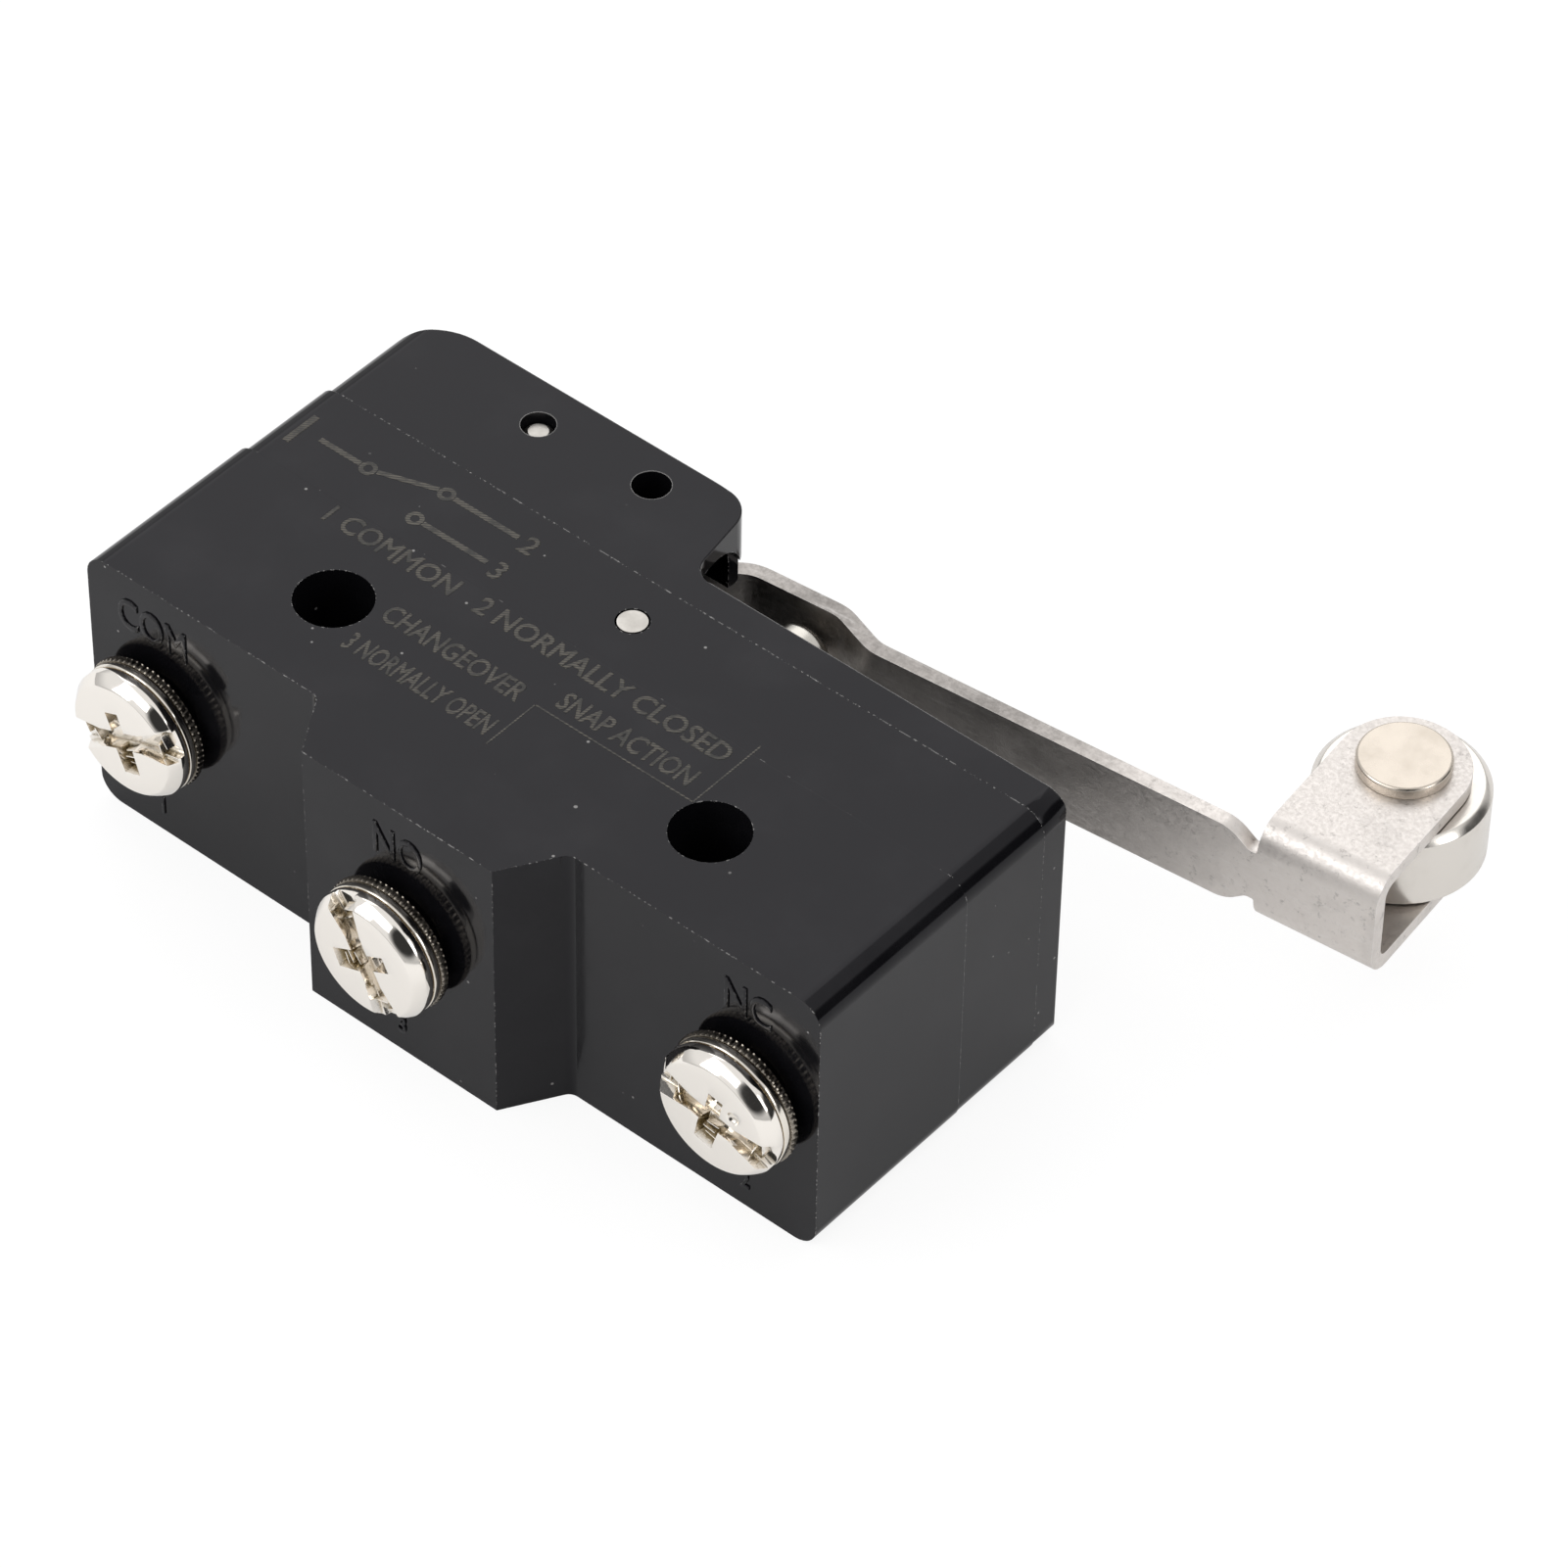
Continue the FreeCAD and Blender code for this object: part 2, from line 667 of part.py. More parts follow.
def axle_world():
    """Roller axle's place in the body's frame while the lever is free."""
    turn = size["lever_rest_angle"]
    along, above = size["axle_along"], size["axle_above"]
    return (size["hinge_place"] + along * cosine(turn) - above * sine(turn),
            size["hinge_height"] + along * sine(turn) + above * cosine(turn))


def make_roller():
    """Plain steel roller with chamfered rims."""
    body = new_body("roller")
    bore = size["axle_radius"] + size["axle_clearance"]
    radius, chamfer, width = size["roller_radius"], size["roller_chamfer"], size["roller_width"]
    low = -width / 2
    sketch = new_sketch(body, "XZ_Plane")
    outline(sketch, [(bore, low), (radius - chamfer, low), (radius, low + chamfer),
                     (radius, -low - chamfer), (radius - chamfer, -low), (bore, -low)])
    revolve(body, sketch)
    place(body, *axle_world(), middle_height)
    return body


def make_axle():
    """Rivet through the clevis: a wide head on top and a spread tail below."""
    body = new_body("roller_axle")
    ear_face = size["roller_width"] / 2 + size["roller_side_clearance"] + size["sheet"]
    head, chamfer = size["axle_head_radius"], size["axle_head_chamfer"]
    top = ear_face + size["axle_head_thickness"]
    tail = ear_face + size["axle_tail_thickness"]
    sketch = new_sketch(body, "XZ_Plane")
    outline(sketch, [(0, -tail), (size["axle_tail_radius"], -tail), (size["axle_tail_radius"], -ear_face),
                     (size["axle_radius"], -ear_face), (size["axle_radius"], ear_face),
                     (head, ear_face), (head, top - chamfer), (head - chamfer, top), (0, top)])
    revolve(body, sketch)
    place(body, *axle_world(), middle_height)
    return body


def lever_height_above(x):
    """Height of the lever's lower face above a place on X, with the lever free."""
    turn = size["lever_rest_angle"]
    span = x - size["hinge_place"]
    face = size["shoulder_level"] - size["sheet"] / 2
    return size["hinge_height"] + (face + span * sine(turn)) / cosine(turn)


def make_plunger():
    """Metal plunger: bevelled cap with a retaining flange and a blind bore for its spring."""
    body = new_body("plunger")
    radius, crown = size["plunger_radius"], size["plunger_crown_radius"]
    top = lever_height_above(size["plunger_place"] - crown) - size["plunger_gap"]
    rim = top - size["plunger_crown_height"]
    flange_top = size["seam_height"] - size["plunger_gap"]
    flange_low = flange_top - size["plunger_flange"]
    bore = size["plunger_bore_radius"]
    roof = top - size["plunger_roof"]
    sketch = new_sketch(body, "XY_Plane")
    outline(sketch, [(bore, flange_low), (size["plunger_flange_radius"], flange_low),
                     (size["plunger_flange_radius"], flange_top), (radius, flange_top),
                     (radius, rim), (crown, top), (0, top), (0, roof), (bore, roof)])
    revolve(body, sketch)
    place(body, size["plunger_place"], 0, middle_height)
    return top


def make_pusher(plunger_top):
    """Pusher that stands on the snap blade, and the spring between it and the plunger."""
    blade_top = size["blade_height"] + size["blade_thickness"] / 2
    foot_low = blade_top + size["pusher_gap"]
    foot_top = foot_low + size["pusher_foot"]
    stem = size["pusher_stem_radius"]
    body = new_body("pusher")
    sketch = new_sketch(body, "XY_Plane")
    outline(sketch, [(0, foot_low), (size["pusher_foot_radius"], foot_low),
                     (size["pusher_foot_radius"], foot_top),
                     (stem, foot_top), (stem, foot_top + size["pusher_stem_length"]),
                     (0, foot_top + size["pusher_stem_length"])])
    revolve(body, sketch)
    place(body, size["plunger_place"], 0, middle_height)

    wire = size["spring_wire_radius"]
    roof = plunger_top - size["plunger_roof"]
    height = roof - foot_top - wire * 2
    helix = document.addObject("Part::Helix", "spring_helix")
    bind(helix, "Radius", size["spring_radius"])
    bind(helix, "Height", height)
    bind(helix, "Pitch", height / size["spring_turns"])
    section = document.addObject("Part::RegularPolygon", "spring_section")
    section.Polygon = WIRE_SIDES
    bind(section, "Circumradius", wire)
    section.Placement.Rotation = FreeCAD.Rotation(FreeCAD.Vector(1, 0, 0), 90)
    bind(section, "Placement.Base.x", size["spring_radius"])
    document.recompute()
    spring = document.addObject("Part::Sweep", "overtravel_spring")
    spring.Label = "overtravel_spring"
    spring.Sections = [section]
    spring.Spine = (helix, ["Edge1"])
    spring.Solid = True
    spring.Frenet = True
    spring.Placement.Rotation = FreeCAD.Rotation(FreeCAD.Vector(1, 0, 0), -90)
    place(spring, size["plunger_place"], foot_top + wire, middle_height)
    document.recompute()
    return spring


def make_blade():
    """Snap blade: flat centre leaf, two bowed legs, and a wide end for the contact."""
    body = new_body("snap_blade")
    half = size["blade_thickness"] / 2
    low, high = size["blade_height"] - half, size["blade_height"] + half
    tip = size["contact_place"] + size["contact_radius"] + size["contact_margin"]
    left = pivot_place - size["blade_overhang"] / 2
    leg_left = size["anchor_place"] + size["leg_gap"]
    foot = size["leg_foot_height"]
    span = size["leg_root_place"] - leg_left
    bow = (span * span / 4 + size["leg_bow"] * size["leg_bow"]) / (size["leg_bow"] * 2)
    root_place = size["leg_root_place"]
    sketch = new_sketch(body, "XY_Plane")
    outline(sketch, [(leg_left, foot), (root_place, low), (tip, low), (tip, high),
                     (root_place, high), (leg_left, foot + size["blade_thickness"])],
            {0: (bow, -1), 4: (bow, 1)})
    pad(body, sketch, size["blade_width"], middle=True)
    window_half = size["blade_width"] / 2 - size["leg_width"]
    sketch = new_sketch(body, "XZ_Plane")
    rectangle(sketch, leg_left - CUT_MARGIN, -window_half, root_place, window_half)
    pocket(body, sketch, size["seam_height"] * 2, middle=True)
    sketch = new_sketch(body, "XY_Plane")
    rectangle(sketch, left, low, root_place + size["leg_width"] / 2, high)
    pad(body, sketch, size["leaf_width"], middle=True)
    sketch = new_sketch(body, "XZ_Plane")
    circle(sketch, size["contact_place"], 0, size["contact_shank_radius"] + size["rivet_clearance"])
    pocket(body, sketch, size["seam_height"] * 2, middle=True)
    place(body, 0, 0, middle_height)
    return body


def make_moving_contact():
    """Double-headed silver rivet through the wide end of the snap blade."""
    body = new_body("moving_contact")
    shank, head, thick = size["contact_shank_radius"], size["contact_radius"], size["contact_head"]
    low = size["blade_height"] - size["blade_thickness"] / 2
    high = low + size["blade_thickness"]
    sketch = new_sketch(body, "XY_Plane")
    outline(sketch, [(0, low - thick), (head, low - thick), (head, low), (shank, low), (shank, high),
                     (head, high), (head, high + thick), (0, high + thick)])
    revolve(body, sketch)
    place(body, size["contact_place"], 0, middle_height)


def make_fixed_contacts():
    """The two silver discs that are welded on to the terminals' plates."""
    plate_top = size["cavity_floor_height"] + size["terminal_strap"]
    for name, low in (("normally_open_contact", plate_top),
                      ("normally_closed_contact", closed_plate - size["contact_head"])):
        body = new_body(name)
        sketch = new_sketch(body, "XZ_Plane")
        circle(sketch, 0, 0, size["contact_radius"])
        pad(body, sketch, size["contact_head"], backwards=True)
        place(body, size["contact_place"], low, middle_height)


def make_terminal(name, corners, centre):
    """Bent brass terminal with a tapped hole for its screw."""
    body = new_body(name)
    sketch = new_sketch(body, "XY_Plane")
    outline(sketch, corners)
    pad(body, sketch, size["terminal_depth"], middle=True)
    block_low = corners[0][1]
    sketch = new_sketch(body, "XZ_Plane", -block_low)
    circle(sketch, centre, 0, size["screw_radius"] + size["screw_thread_clearance"])
    pocket(body, sketch, size["terminal_block_height"])
    place(body, 0, 0, middle_height)


def make_terminals():
    """Common, normally open and normally closed terminals."""
    strap, floor = size["terminal_strap"], size["cavity_floor_height"]
    plate = floor + strap
    low = front_face + size["face_web"]
    high = low + size["terminal_block_height"]
    inner = common_place + block_half - strap
    outer = common_place + block_half
    post = size["blade_height"] - size["blade_thickness"] / 2 - size["contact_gap"]
    anchor = size["anchor_place"]
    make_terminal("common_terminal", [
        (common_place - block_half, low), (outer, low), (outer, floor), (anchor, floor),
        (anchor, size["anchor_height"]), (anchor - strap, size["anchor_height"]),
        (anchor - strap, plate), (outer, plate), (outer, post), (inner, post), (inner, high),
        (common_place - block_half, high)], common_place)

    low_open = pedestal_face + size["face_web"]
    high_open = low_open + size["terminal_block_height"]
    open_outer = open_place + block_half
    plate_end = size["contact_place"] + size["contact_radius"] + size["contact_margin"]
    make_terminal("normally_open_terminal", [
        (open_place - block_half, low_open), (open_outer, low_open), (open_outer, floor),
        (plate_end, floor), (plate_end, plate), (open_outer - strap, plate),
        (open_outer - strap, high_open), (open_place - block_half, high_open)], open_place)

    closed_outer = closed_place + block_half
    plate_start = size["contact_place"] - size["contact_radius"] - size["plate_margin"]
    make_terminal("normally_closed_terminal", [
        (closed_place - block_half, low), (closed_outer, low), (closed_outer, closed_plate + strap),
        (plate_start, closed_plate + strap), (plate_start, closed_plate),
        (closed_outer - strap, closed_plate), (closed_outer - strap, high),
        (closed_place - block_half, high)], closed_place)


def turn_about_screw(body, turn):
    """Turn a body about its screw's axis."""
    body.Placement.Rotation = FreeCAD.Rotation(FreeCAD.Vector(0, -1, 0), 1)
    bind(body, "Placement.Rotation.Angle", turn)


def make_screw(name, x, face, turn):
    """Terminal screw with a slot from rim to rim and a cross recess."""
    body = new_body(name)
    under = size["washer_stand_off"] + size["tooth_washer"] + size["spring_washer"]
    rim = under + size["head_rim"]
    crown = rim + size["head_bevel_height"]
    shank, tip = size["screw_radius"], size["screw_reach"]
    flat = size["head_radius"] - size["head_bevel"]
    sketch = new_sketch(body, "XY_Plane")
    outline(sketch, [(0, -crown), (flat, -crown), (size["head_radius"], -rim),
                     (size["head_radius"], -under), (shank, -under), (shank, tip), (0, tip)])
    revolve(body, sketch)
    half = size["slot_width"] / 2
    reach = size["head_radius"] + CUT_MARGIN
    span = size["cross_span"] / 2
    sketch = new_sketch(body, "XZ_Plane", crown)
    rectangle(sketch, -reach, -half, reach, half)
    pocket(body, sketch, size["slot_depth"])
    sketch = new_sketch(body, "XZ_Plane", crown)
    outline(sketch, [(-span, -half), (-half, -half), (-half, -span), (half, -span), (half, -half),
                     (span, -half), (span, half), (half, half), (half, span), (-half, span),
                     (-half, half), (-span, half)])
    pocket(body, sketch, size["cross_depth"])
    place(body, x, face, middle_height)
    turn_about_screw(body, turn)


def make_tooth_washer(name, x, face):
    """Washer with a toothed rim, nearest to the terminal face."""
    body = new_body(name)
    low = -size["washer_stand_off"] - size["tooth_washer"]
    radius = size["tooth_washer_radius"]
    sketch = new_sketch(body, "XZ_Plane", -low)
    circle(sketch, 0, 0, radius)
    circle(sketch, 0, 0, size["washer_bore_radius"])
    pad(body, sketch, size["tooth_washer"], backwards=True)
    sketch = new_sketch(body, "XZ_Plane", -low)
    depth = size["tooth_depth"]
    outline(sketch, [(radius - depth, 0), (radius + depth, -depth), (radius + depth, depth)])
    notch = pocket(body, sketch, size["tooth_washer"])
    pattern = body.newObject("PartDesign::PolarPattern", "teeth")
    pattern.Originals = [notch]
    pattern.Axis = ([f for f in body.Origin.OriginFeatures if f.Role == "Y_Axis"][0], [""])
    pattern.Angle = 360
    pattern.Occurrences = TOOTH_COUNT
    body.Tip = pattern
    document.recompute()
    place(body, x, face, middle_height)


def make_spring_washer(name, x, face, turn):
    """Split spring washer under the screw's head."""
    body = new_body(name)
    low = -size["washer_stand_off"] - size["tooth_washer"] - size["spring_washer"]
    sketch = new_sketch(body, "XZ_Plane", -low)
    circle(sketch, 0, 0, size["spring_washer_radius"])
    circle(sketch, 0, 0, size["washer_bore_radius"])
    pad(body, sketch, size["spring_washer"], backwards=True)
    half = size["spring_washer_split"] / 2
    sketch = new_sketch(body, "XZ_Plane", -low)
    rectangle(sketch, size["washer_bore_radius"] / 2, -half, size["spring_washer_radius"] + CUT_MARGIN, half)
    pocket(body, sketch, size["spring_washer"])
    place(body, x, face, middle_height)
    turn_about_screw(body, turn)


def make_fasteners():
    """Screw, spring washer and toothed washer at each of the three terminals."""
    for prefix, x, face, turn in (
            ("common", common_place, front_face, size["slot_turn_common"]),
            ("normally_open", open_place, pedestal_face, size["slot_turn_open"]),
            ("normally_closed", closed_place, front_face, size["slot_turn_closed"])):
        make_screw(f"{prefix}_screw", x, face, turn)
        make_spring_washer(f"{prefix}_spring_washer", x, face, turn)
        make_tooth_washer(f"{prefix}_tooth_washer", x, face)


def finished_parts():
    """Every sub-part of the document: the bodies, and the swept spring."""
    return [one for one in document.Objects
            if one.TypeId == "PartDesign::Body" or one.Name == "overtravel_spring"]


def check_document():
    """Stop if any object failed, or any sub-part's shape is null or not valid."""
    for one in document.Objects:
        if "Invalid" in one.State or "Error" in one.State:
            raise ValueError(f"{one.Label} ({one.Name}) is {one.State}")
    for one in finished_parts():
        if one.Shape.isNull() or not one.Shape.isValid():
            raise ValueError(f"{one.Label} has no valid shape")
        if len(one.Shape.Solids) != 1:
            raise ValueError(f"{one.Label} has {len(one.Shape.Solids)} solids")


def write_parts():
    """Write each sub-part to its own STEP file."""
    os.makedirs("parts", exist_ok=True)
    for one in finished_parts():
        one.Shape.exportStep(os.path.join("parts", f"{one.Label}.step"))
        box = one.Shape.BoundBox
        print(f"{one.Label}: {one.Shape.Volume:.2f} mm3, "
              f"x {box.XMin:.2f} to {box.XMax:.2f}, y {box.YMin:.2f} to {box.YMax:.2f}, "
              f"z {box.ZMin:.2f} to {box.ZMax:.2f}")


make_base()
make_cover()
make_hinge_pin()
make_cover_pins()
make_lever()
make_roller()
make_axle()
make_pusher(make_plunger())
make_blade()
make_moving_contact()
make_fixed_contacts()
make_terminals()
make_fasteners()
document.recompute()
check_document()
write_parts()
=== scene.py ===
"""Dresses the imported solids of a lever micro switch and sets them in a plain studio.

The frame gives every place: +X runs along the case to the roller, +Y from the terminals to the
lever, and the case lies on z = 0. Lengths are metres, and MM turns millimetres into them.
"""

from __future__ import annotations

import logging
import math
import sys
from contextlib import contextmanager
from dataclasses import dataclass, field
from enum import Enum
from typing import Callable, Iterable, Iterator, Sequence

import bmesh
import bpy
from mathutils import Matrix, Vector

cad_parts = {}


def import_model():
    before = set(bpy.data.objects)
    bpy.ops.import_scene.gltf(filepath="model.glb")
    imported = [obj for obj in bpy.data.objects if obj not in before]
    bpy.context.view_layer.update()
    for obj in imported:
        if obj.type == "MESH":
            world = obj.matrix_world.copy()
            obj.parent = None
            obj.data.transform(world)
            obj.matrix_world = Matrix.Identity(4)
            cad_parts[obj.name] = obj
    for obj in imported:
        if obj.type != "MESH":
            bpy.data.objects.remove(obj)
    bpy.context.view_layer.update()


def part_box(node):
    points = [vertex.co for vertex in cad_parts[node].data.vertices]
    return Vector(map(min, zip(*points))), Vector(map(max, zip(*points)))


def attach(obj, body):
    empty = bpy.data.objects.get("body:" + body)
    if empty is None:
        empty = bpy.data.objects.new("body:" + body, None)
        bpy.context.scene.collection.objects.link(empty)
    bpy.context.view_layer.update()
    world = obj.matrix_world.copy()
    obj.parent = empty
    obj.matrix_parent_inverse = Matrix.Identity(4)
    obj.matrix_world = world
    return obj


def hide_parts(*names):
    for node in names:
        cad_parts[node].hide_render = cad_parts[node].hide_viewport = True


LOG = logging.getLogger("lever_switch")
MM = 0.001
CAPITAL_SHARE = 1.42
MERGE_REACH = 1e-7
PACKED_MERGE_REACH = 2e-6
FLAT_ANGLE = math.radians(0.4)
FACING = 0.9
Colour = tuple[float, float, float]
Piece = bpy.types.Object
Material = bpy.types.Material
Edge = bmesh.types.BMEdge
Face = bmesh.types.BMFace
Socket = bpy.types.NodeSocket


class Slot(Enum):
    """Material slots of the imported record."""

    CASE = "case"
    PIN = "pin_steel"
    LEVER = "lever_steel"
    ROLLER = "roller_steel"
    RIVET = "rivet_steel"
    PLUNGER = "plunger_steel"
    PUSHER = "pusher_plastic"
    SPRING = "spring_wire"
    BLADE = "blade_copper"
    SILVER = "contact_silver"
    BRASS = "terminal_brass"
    SCREW = "screw_steel"
    WASHER = "washer_steel"


class Terminal(Enum):
    """The three screw terminals: node prefix, moulded word and number."""

    COMMON = ("common", "COM", "1")
    OPEN = ("normally_open", "NO", "3")
    CLOSED = ("normally_closed", "NC", "2")

    @property
    def prefix(self) -> str:
        """Start of the terminal's node names."""
        return self.value[0]

    @property
    def word(self) -> str:
        """Word moulded above the screw."""
        return self.value[1]

    @property
    def number(self) -> str:
        """Number moulded below the screw."""
        return self.value[2]


# Modelling


def clear_selection() -> None:
    """Leave nothing selected."""
    bpy.ops.object.select_all(action="DESELECT")


def take(piece: Piece) -> None:
    """Make one piece the only selected and the active one.

    Args:
        piece: The piece.
    """
    clear_selection()
    piece.select_set(True)
    bpy.context.view_layer.objects.active = piece


@contextmanager
def editing(piece: Piece) -> Iterator[None]:
    """Work on one piece in edit mode, and leave it again.

    Args:
        piece: The piece.

    Yields:
        Nothing, while the piece is in edit mode.
    """
    take(piece)
    bpy.ops.object.mode_set(mode="EDIT")
    yield
    bpy.ops.object.mode_set(mode="OBJECT")


def select_mesh() -> None:
    """Select the whole mesh of the piece in edit mode."""
    bpy.ops.mesh.select_all(action="SELECT")


def pick(
    piece: Piece,
    faces: Callable[[Face], bool] | None = None,
    edges: Callable[[Edge], bool] | None = None,
) -> int:
    """Select faces or edges of the piece in edit mode.

    Args:
        piece: The piece, already in edit mode.
        faces: Test that a selected face passes.
        edges: Test that a selected edge passes.

    Returns:
        How many elements are selected.
    """
    bpy.ops.mesh.select_mode(type="FACE" if faces else "EDGE")
    bpy.ops.mesh.select_all(action="DESELECT")
    mesh = bmesh.from_edit_mesh(piece.data)
    test = faces or edges
    count = 0
    for element in mesh.faces if faces else mesh.edges:
        if test(element):
            element.select_set(True)
            count += 1
    bmesh.update_edit_mesh(piece.data)
    return count


def apply_modifier(piece: Piece, kind: str, **settings: object) -> None:
    """Add one modifier with its settings and apply it.

    Args:
        piece: The piece that gets the modifier.
        kind: Blender's name of the modifier type.
        settings: The modifier's properties.
    """
    take(piece)
    modifier = piece.modifiers.new(kind.lower(), kind)
    for name, value in settings.items():
        setattr(modifier, name, value)
    bpy.ops.object.modifier_apply(modifier=modifier.name)


def round_edges(piece: Piece, width: float, angle: float = 32, segments: int = 2) -> None:
    """Round every edge sharper than an angle, and shade the flats flat.

    Args:
        piece: The piece to round.
        width: Width of the round in metres.
        angle: Smallest angle between faces that counts as an edge, in degrees.
        segments: Faces across the round.
    """
    apply_modifier(
        piece, "BEVEL", width=width, segments=segments, limit_method="ANGLE",
        angle_limit=math.radians(angle), use_clamp_overlap=True, miter_outer="MITER_ARC")
    shade(piece, angle)


def shade(piece: Piece, angle: float = 32) -> None:
    """Shade smooth below an angle, with the large flats setting the normals.

    Args:
        piece: The piece.
        angle: Largest angle that is shaded smooth, in degrees.
    """
    take(piece)
    bpy.ops.object.shade_smooth_by_angle(angle=math.radians(angle))
    apply_modifier(piece, "WEIGHTED_NORMAL", mode="FACE_AREA", weight=80, keep_sharp=True)


def settle(piece: Piece) -> None:
    """Put a piece's place into its mesh, and point its faces outwards.

    Args:
        piece: The piece.
    """
    take(piece)
    bpy.ops.object.transform_apply(location=True, rotation=True, scale=True)
    with editing(piece):
        select_mesh()
        bpy.ops.mesh.remove_doubles(threshold=MERGE_REACH)
        bpy.ops.mesh.normals_make_consistent(inside=False)


def bar(name: str, size: Sequence[float], place: Sequence[float], turn: float = 0.0) -> Piece:
    """Add a bar of a size at a place, turned about the upright axis.

    Args:
        name: Name of the bar.
        size: Its length, width and height.
        place: Its middle.
        turn: Turn about Z in radians.

    Returns:
        The bar, with its size and place in its mesh.
    """
    clear_selection()
    bpy.ops.mesh.primitive_cube_add(size=1, scale=tuple(size), location=tuple(place), rotation=(0, 0, turn))
    made = bpy.context.object
    made.name = name
    bpy.ops.object.transform_apply(location=True, rotation=True, scale=True)
    return made


def cut(piece: Piece, tool: Piece, operation: str = "DIFFERENCE") -> None:
    """Cut a tool out of a piece, or join it on, and remove the tool."""
    apply_modifier(piece, "BOOLEAN", object=tool, operation=operation, solver="EXACT")
    bpy.data.objects.remove(tool)


def copy_of(piece: Piece, name: str) -> Piece:
    """Copy a piece with a mesh of its own.

    Args:
        piece: The piece.
        name: Name of the copy and its mesh.

    Returns:
        The copy.
    """
    twin = piece.copy()
    twin.data = piece.data.copy()
    twin.name = name
    twin.data.name = name
    bpy.context.collection.objects.link(twin)
    return twin


def clean_copy(node: str, name: str) -> Piece:
    """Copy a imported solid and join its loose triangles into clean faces.

    Args:
        node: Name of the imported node.
        name: Name of the new piece.

    Returns:
        The new piece, which isn't yet riding on a body.
    """
    piece = copy_of(bpy.data.objects[node], name)
    piece.data.materials.clear()
    with editing(piece):
        select_mesh()
        bpy.ops.mesh.remove_doubles(threshold=PACKED_MERGE_REACH)
        bpy.ops.mesh.dissolve_limited(angle_limit=FLAT_ANGLE)
    packed_normals = piece.data.attributes.get("custom_normal")
    if packed_normals is not None:
        piece.data.attributes.remove(packed_normals)
    return piece


def dressed_copy(node: str, name: str, width: float, angle: float = 32) -> Piece:
    """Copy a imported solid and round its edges.

    Args:
        node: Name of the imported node.
        name: Name of the new piece.
        width: Width of the edge round in metres.
        angle: Smallest angle that counts as an edge, in degrees.

    Returns:
        The new piece, which isn't yet riding on a body.
    """
    piece = clean_copy(node, name)
    round_edges(piece, width, angle)
    return piece


def bevel_where(piece: Piece, test: Callable[[Edge], bool], width: float, segments: int) -> None:
    """Round the edges that pass a test.

    Args:
        piece: The piece to round.
        test: Test that a rounded edge passes.
        width: Width of the round in metres.
        segments: Faces across the round.
    """
    with editing(piece):
        found = pick(piece, edges=test)
        bpy.ops.mesh.bevel(offset=width, segments=segments, affect="EDGES", clamp_overlap=True)
    LOG.info("%s: %d edges rounded by %.2f mm", piece.name, found, width / MM)


def lettering(
    text: str, place: Sequence[float], height: float, turn: float = 0.0, **settings: object,
) -> Piece:
    """Write a word and turn it into a mesh.

    Args:
        text: The word.
        place: Where it is aligned.
        height: Height of its capitals.
        turn: Turn about X in radians.
        settings: Further properties of the text.

    Returns:
        The word as a mesh.
    """
    clear_selection()
    bpy.ops.object.text_add(location=tuple(place), rotation=(turn, 0, 0))
    word = bpy.context.object
    word.data.body = text
    word.data.size = height * CAPITAL_SHARE
    for name, value in settings.items():
        setattr(word.data, name, value)
    bpy.ops.object.convert(target="MESH")
    return bpy.context.object


def centre_of(node: str) -> Vector:
    """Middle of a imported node's box."""
    low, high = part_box(node)
    return (Vector(low) + Vector(high)) / 2


# Materials


class Wiring:
    """Adds and links the nodes of one tree."""

    def __init__(self, tree: bpy.types.NodeTree) -> None:
        """Start with an empty tree."""
        self.tree = tree
        self.tree.nodes.clear()

    def node(
        self, kind: str, inputs: dict[str | int, object] | None = None, **settings: object,
    ) -> bpy.types.Node:
        """Add a node.

        Args:
            kind: Node type, without the ShaderNode prefix.
            inputs: Sockets or constants by input name or number.
            settings: Properties of the node.

        Returns:
            The new node.
        """
        node = self.tree.nodes.new(f"ShaderNode{kind}")
        for name, value in settings.items():
            setattr(node, name, value)
        for name, value in (inputs or {}).items():
            if isinstance(value, Socket):
                self.tree.links.new(value, node.inputs[name])
            else:
                node.inputs[name].default_value = value
        return node

    def math(self, operation: str, first: Socket | float, second: Socket | float = 0.0) -> Socket:
        """Arithmetic on one or two values."""
        return self.node("Math", {0: first, 1: second}, operation=operation).outputs[0]

    def times(self, first: Socket, second: Socket | float) -> Socket:
        """Product of two values."""
        return self.math("MULTIPLY", first, second)

    def larger(self, first: Socket, second: Socket) -> Socket:
        """The larger of two values."""
        return self.math("MAXIMUM", first, second)

    def band(self, value: Socket, low: float, high: float, start: float = 0.0, end: float = 1.0) -> Socket:
        """Map a value between two limits smoothly on to a start and an end."""
        return self.node(
            "MapRange", {0: value, 1: low, 2: high, 3: start, 4: end}, interpolation_type="SMOOTHSTEP"
        ).outputs[0]


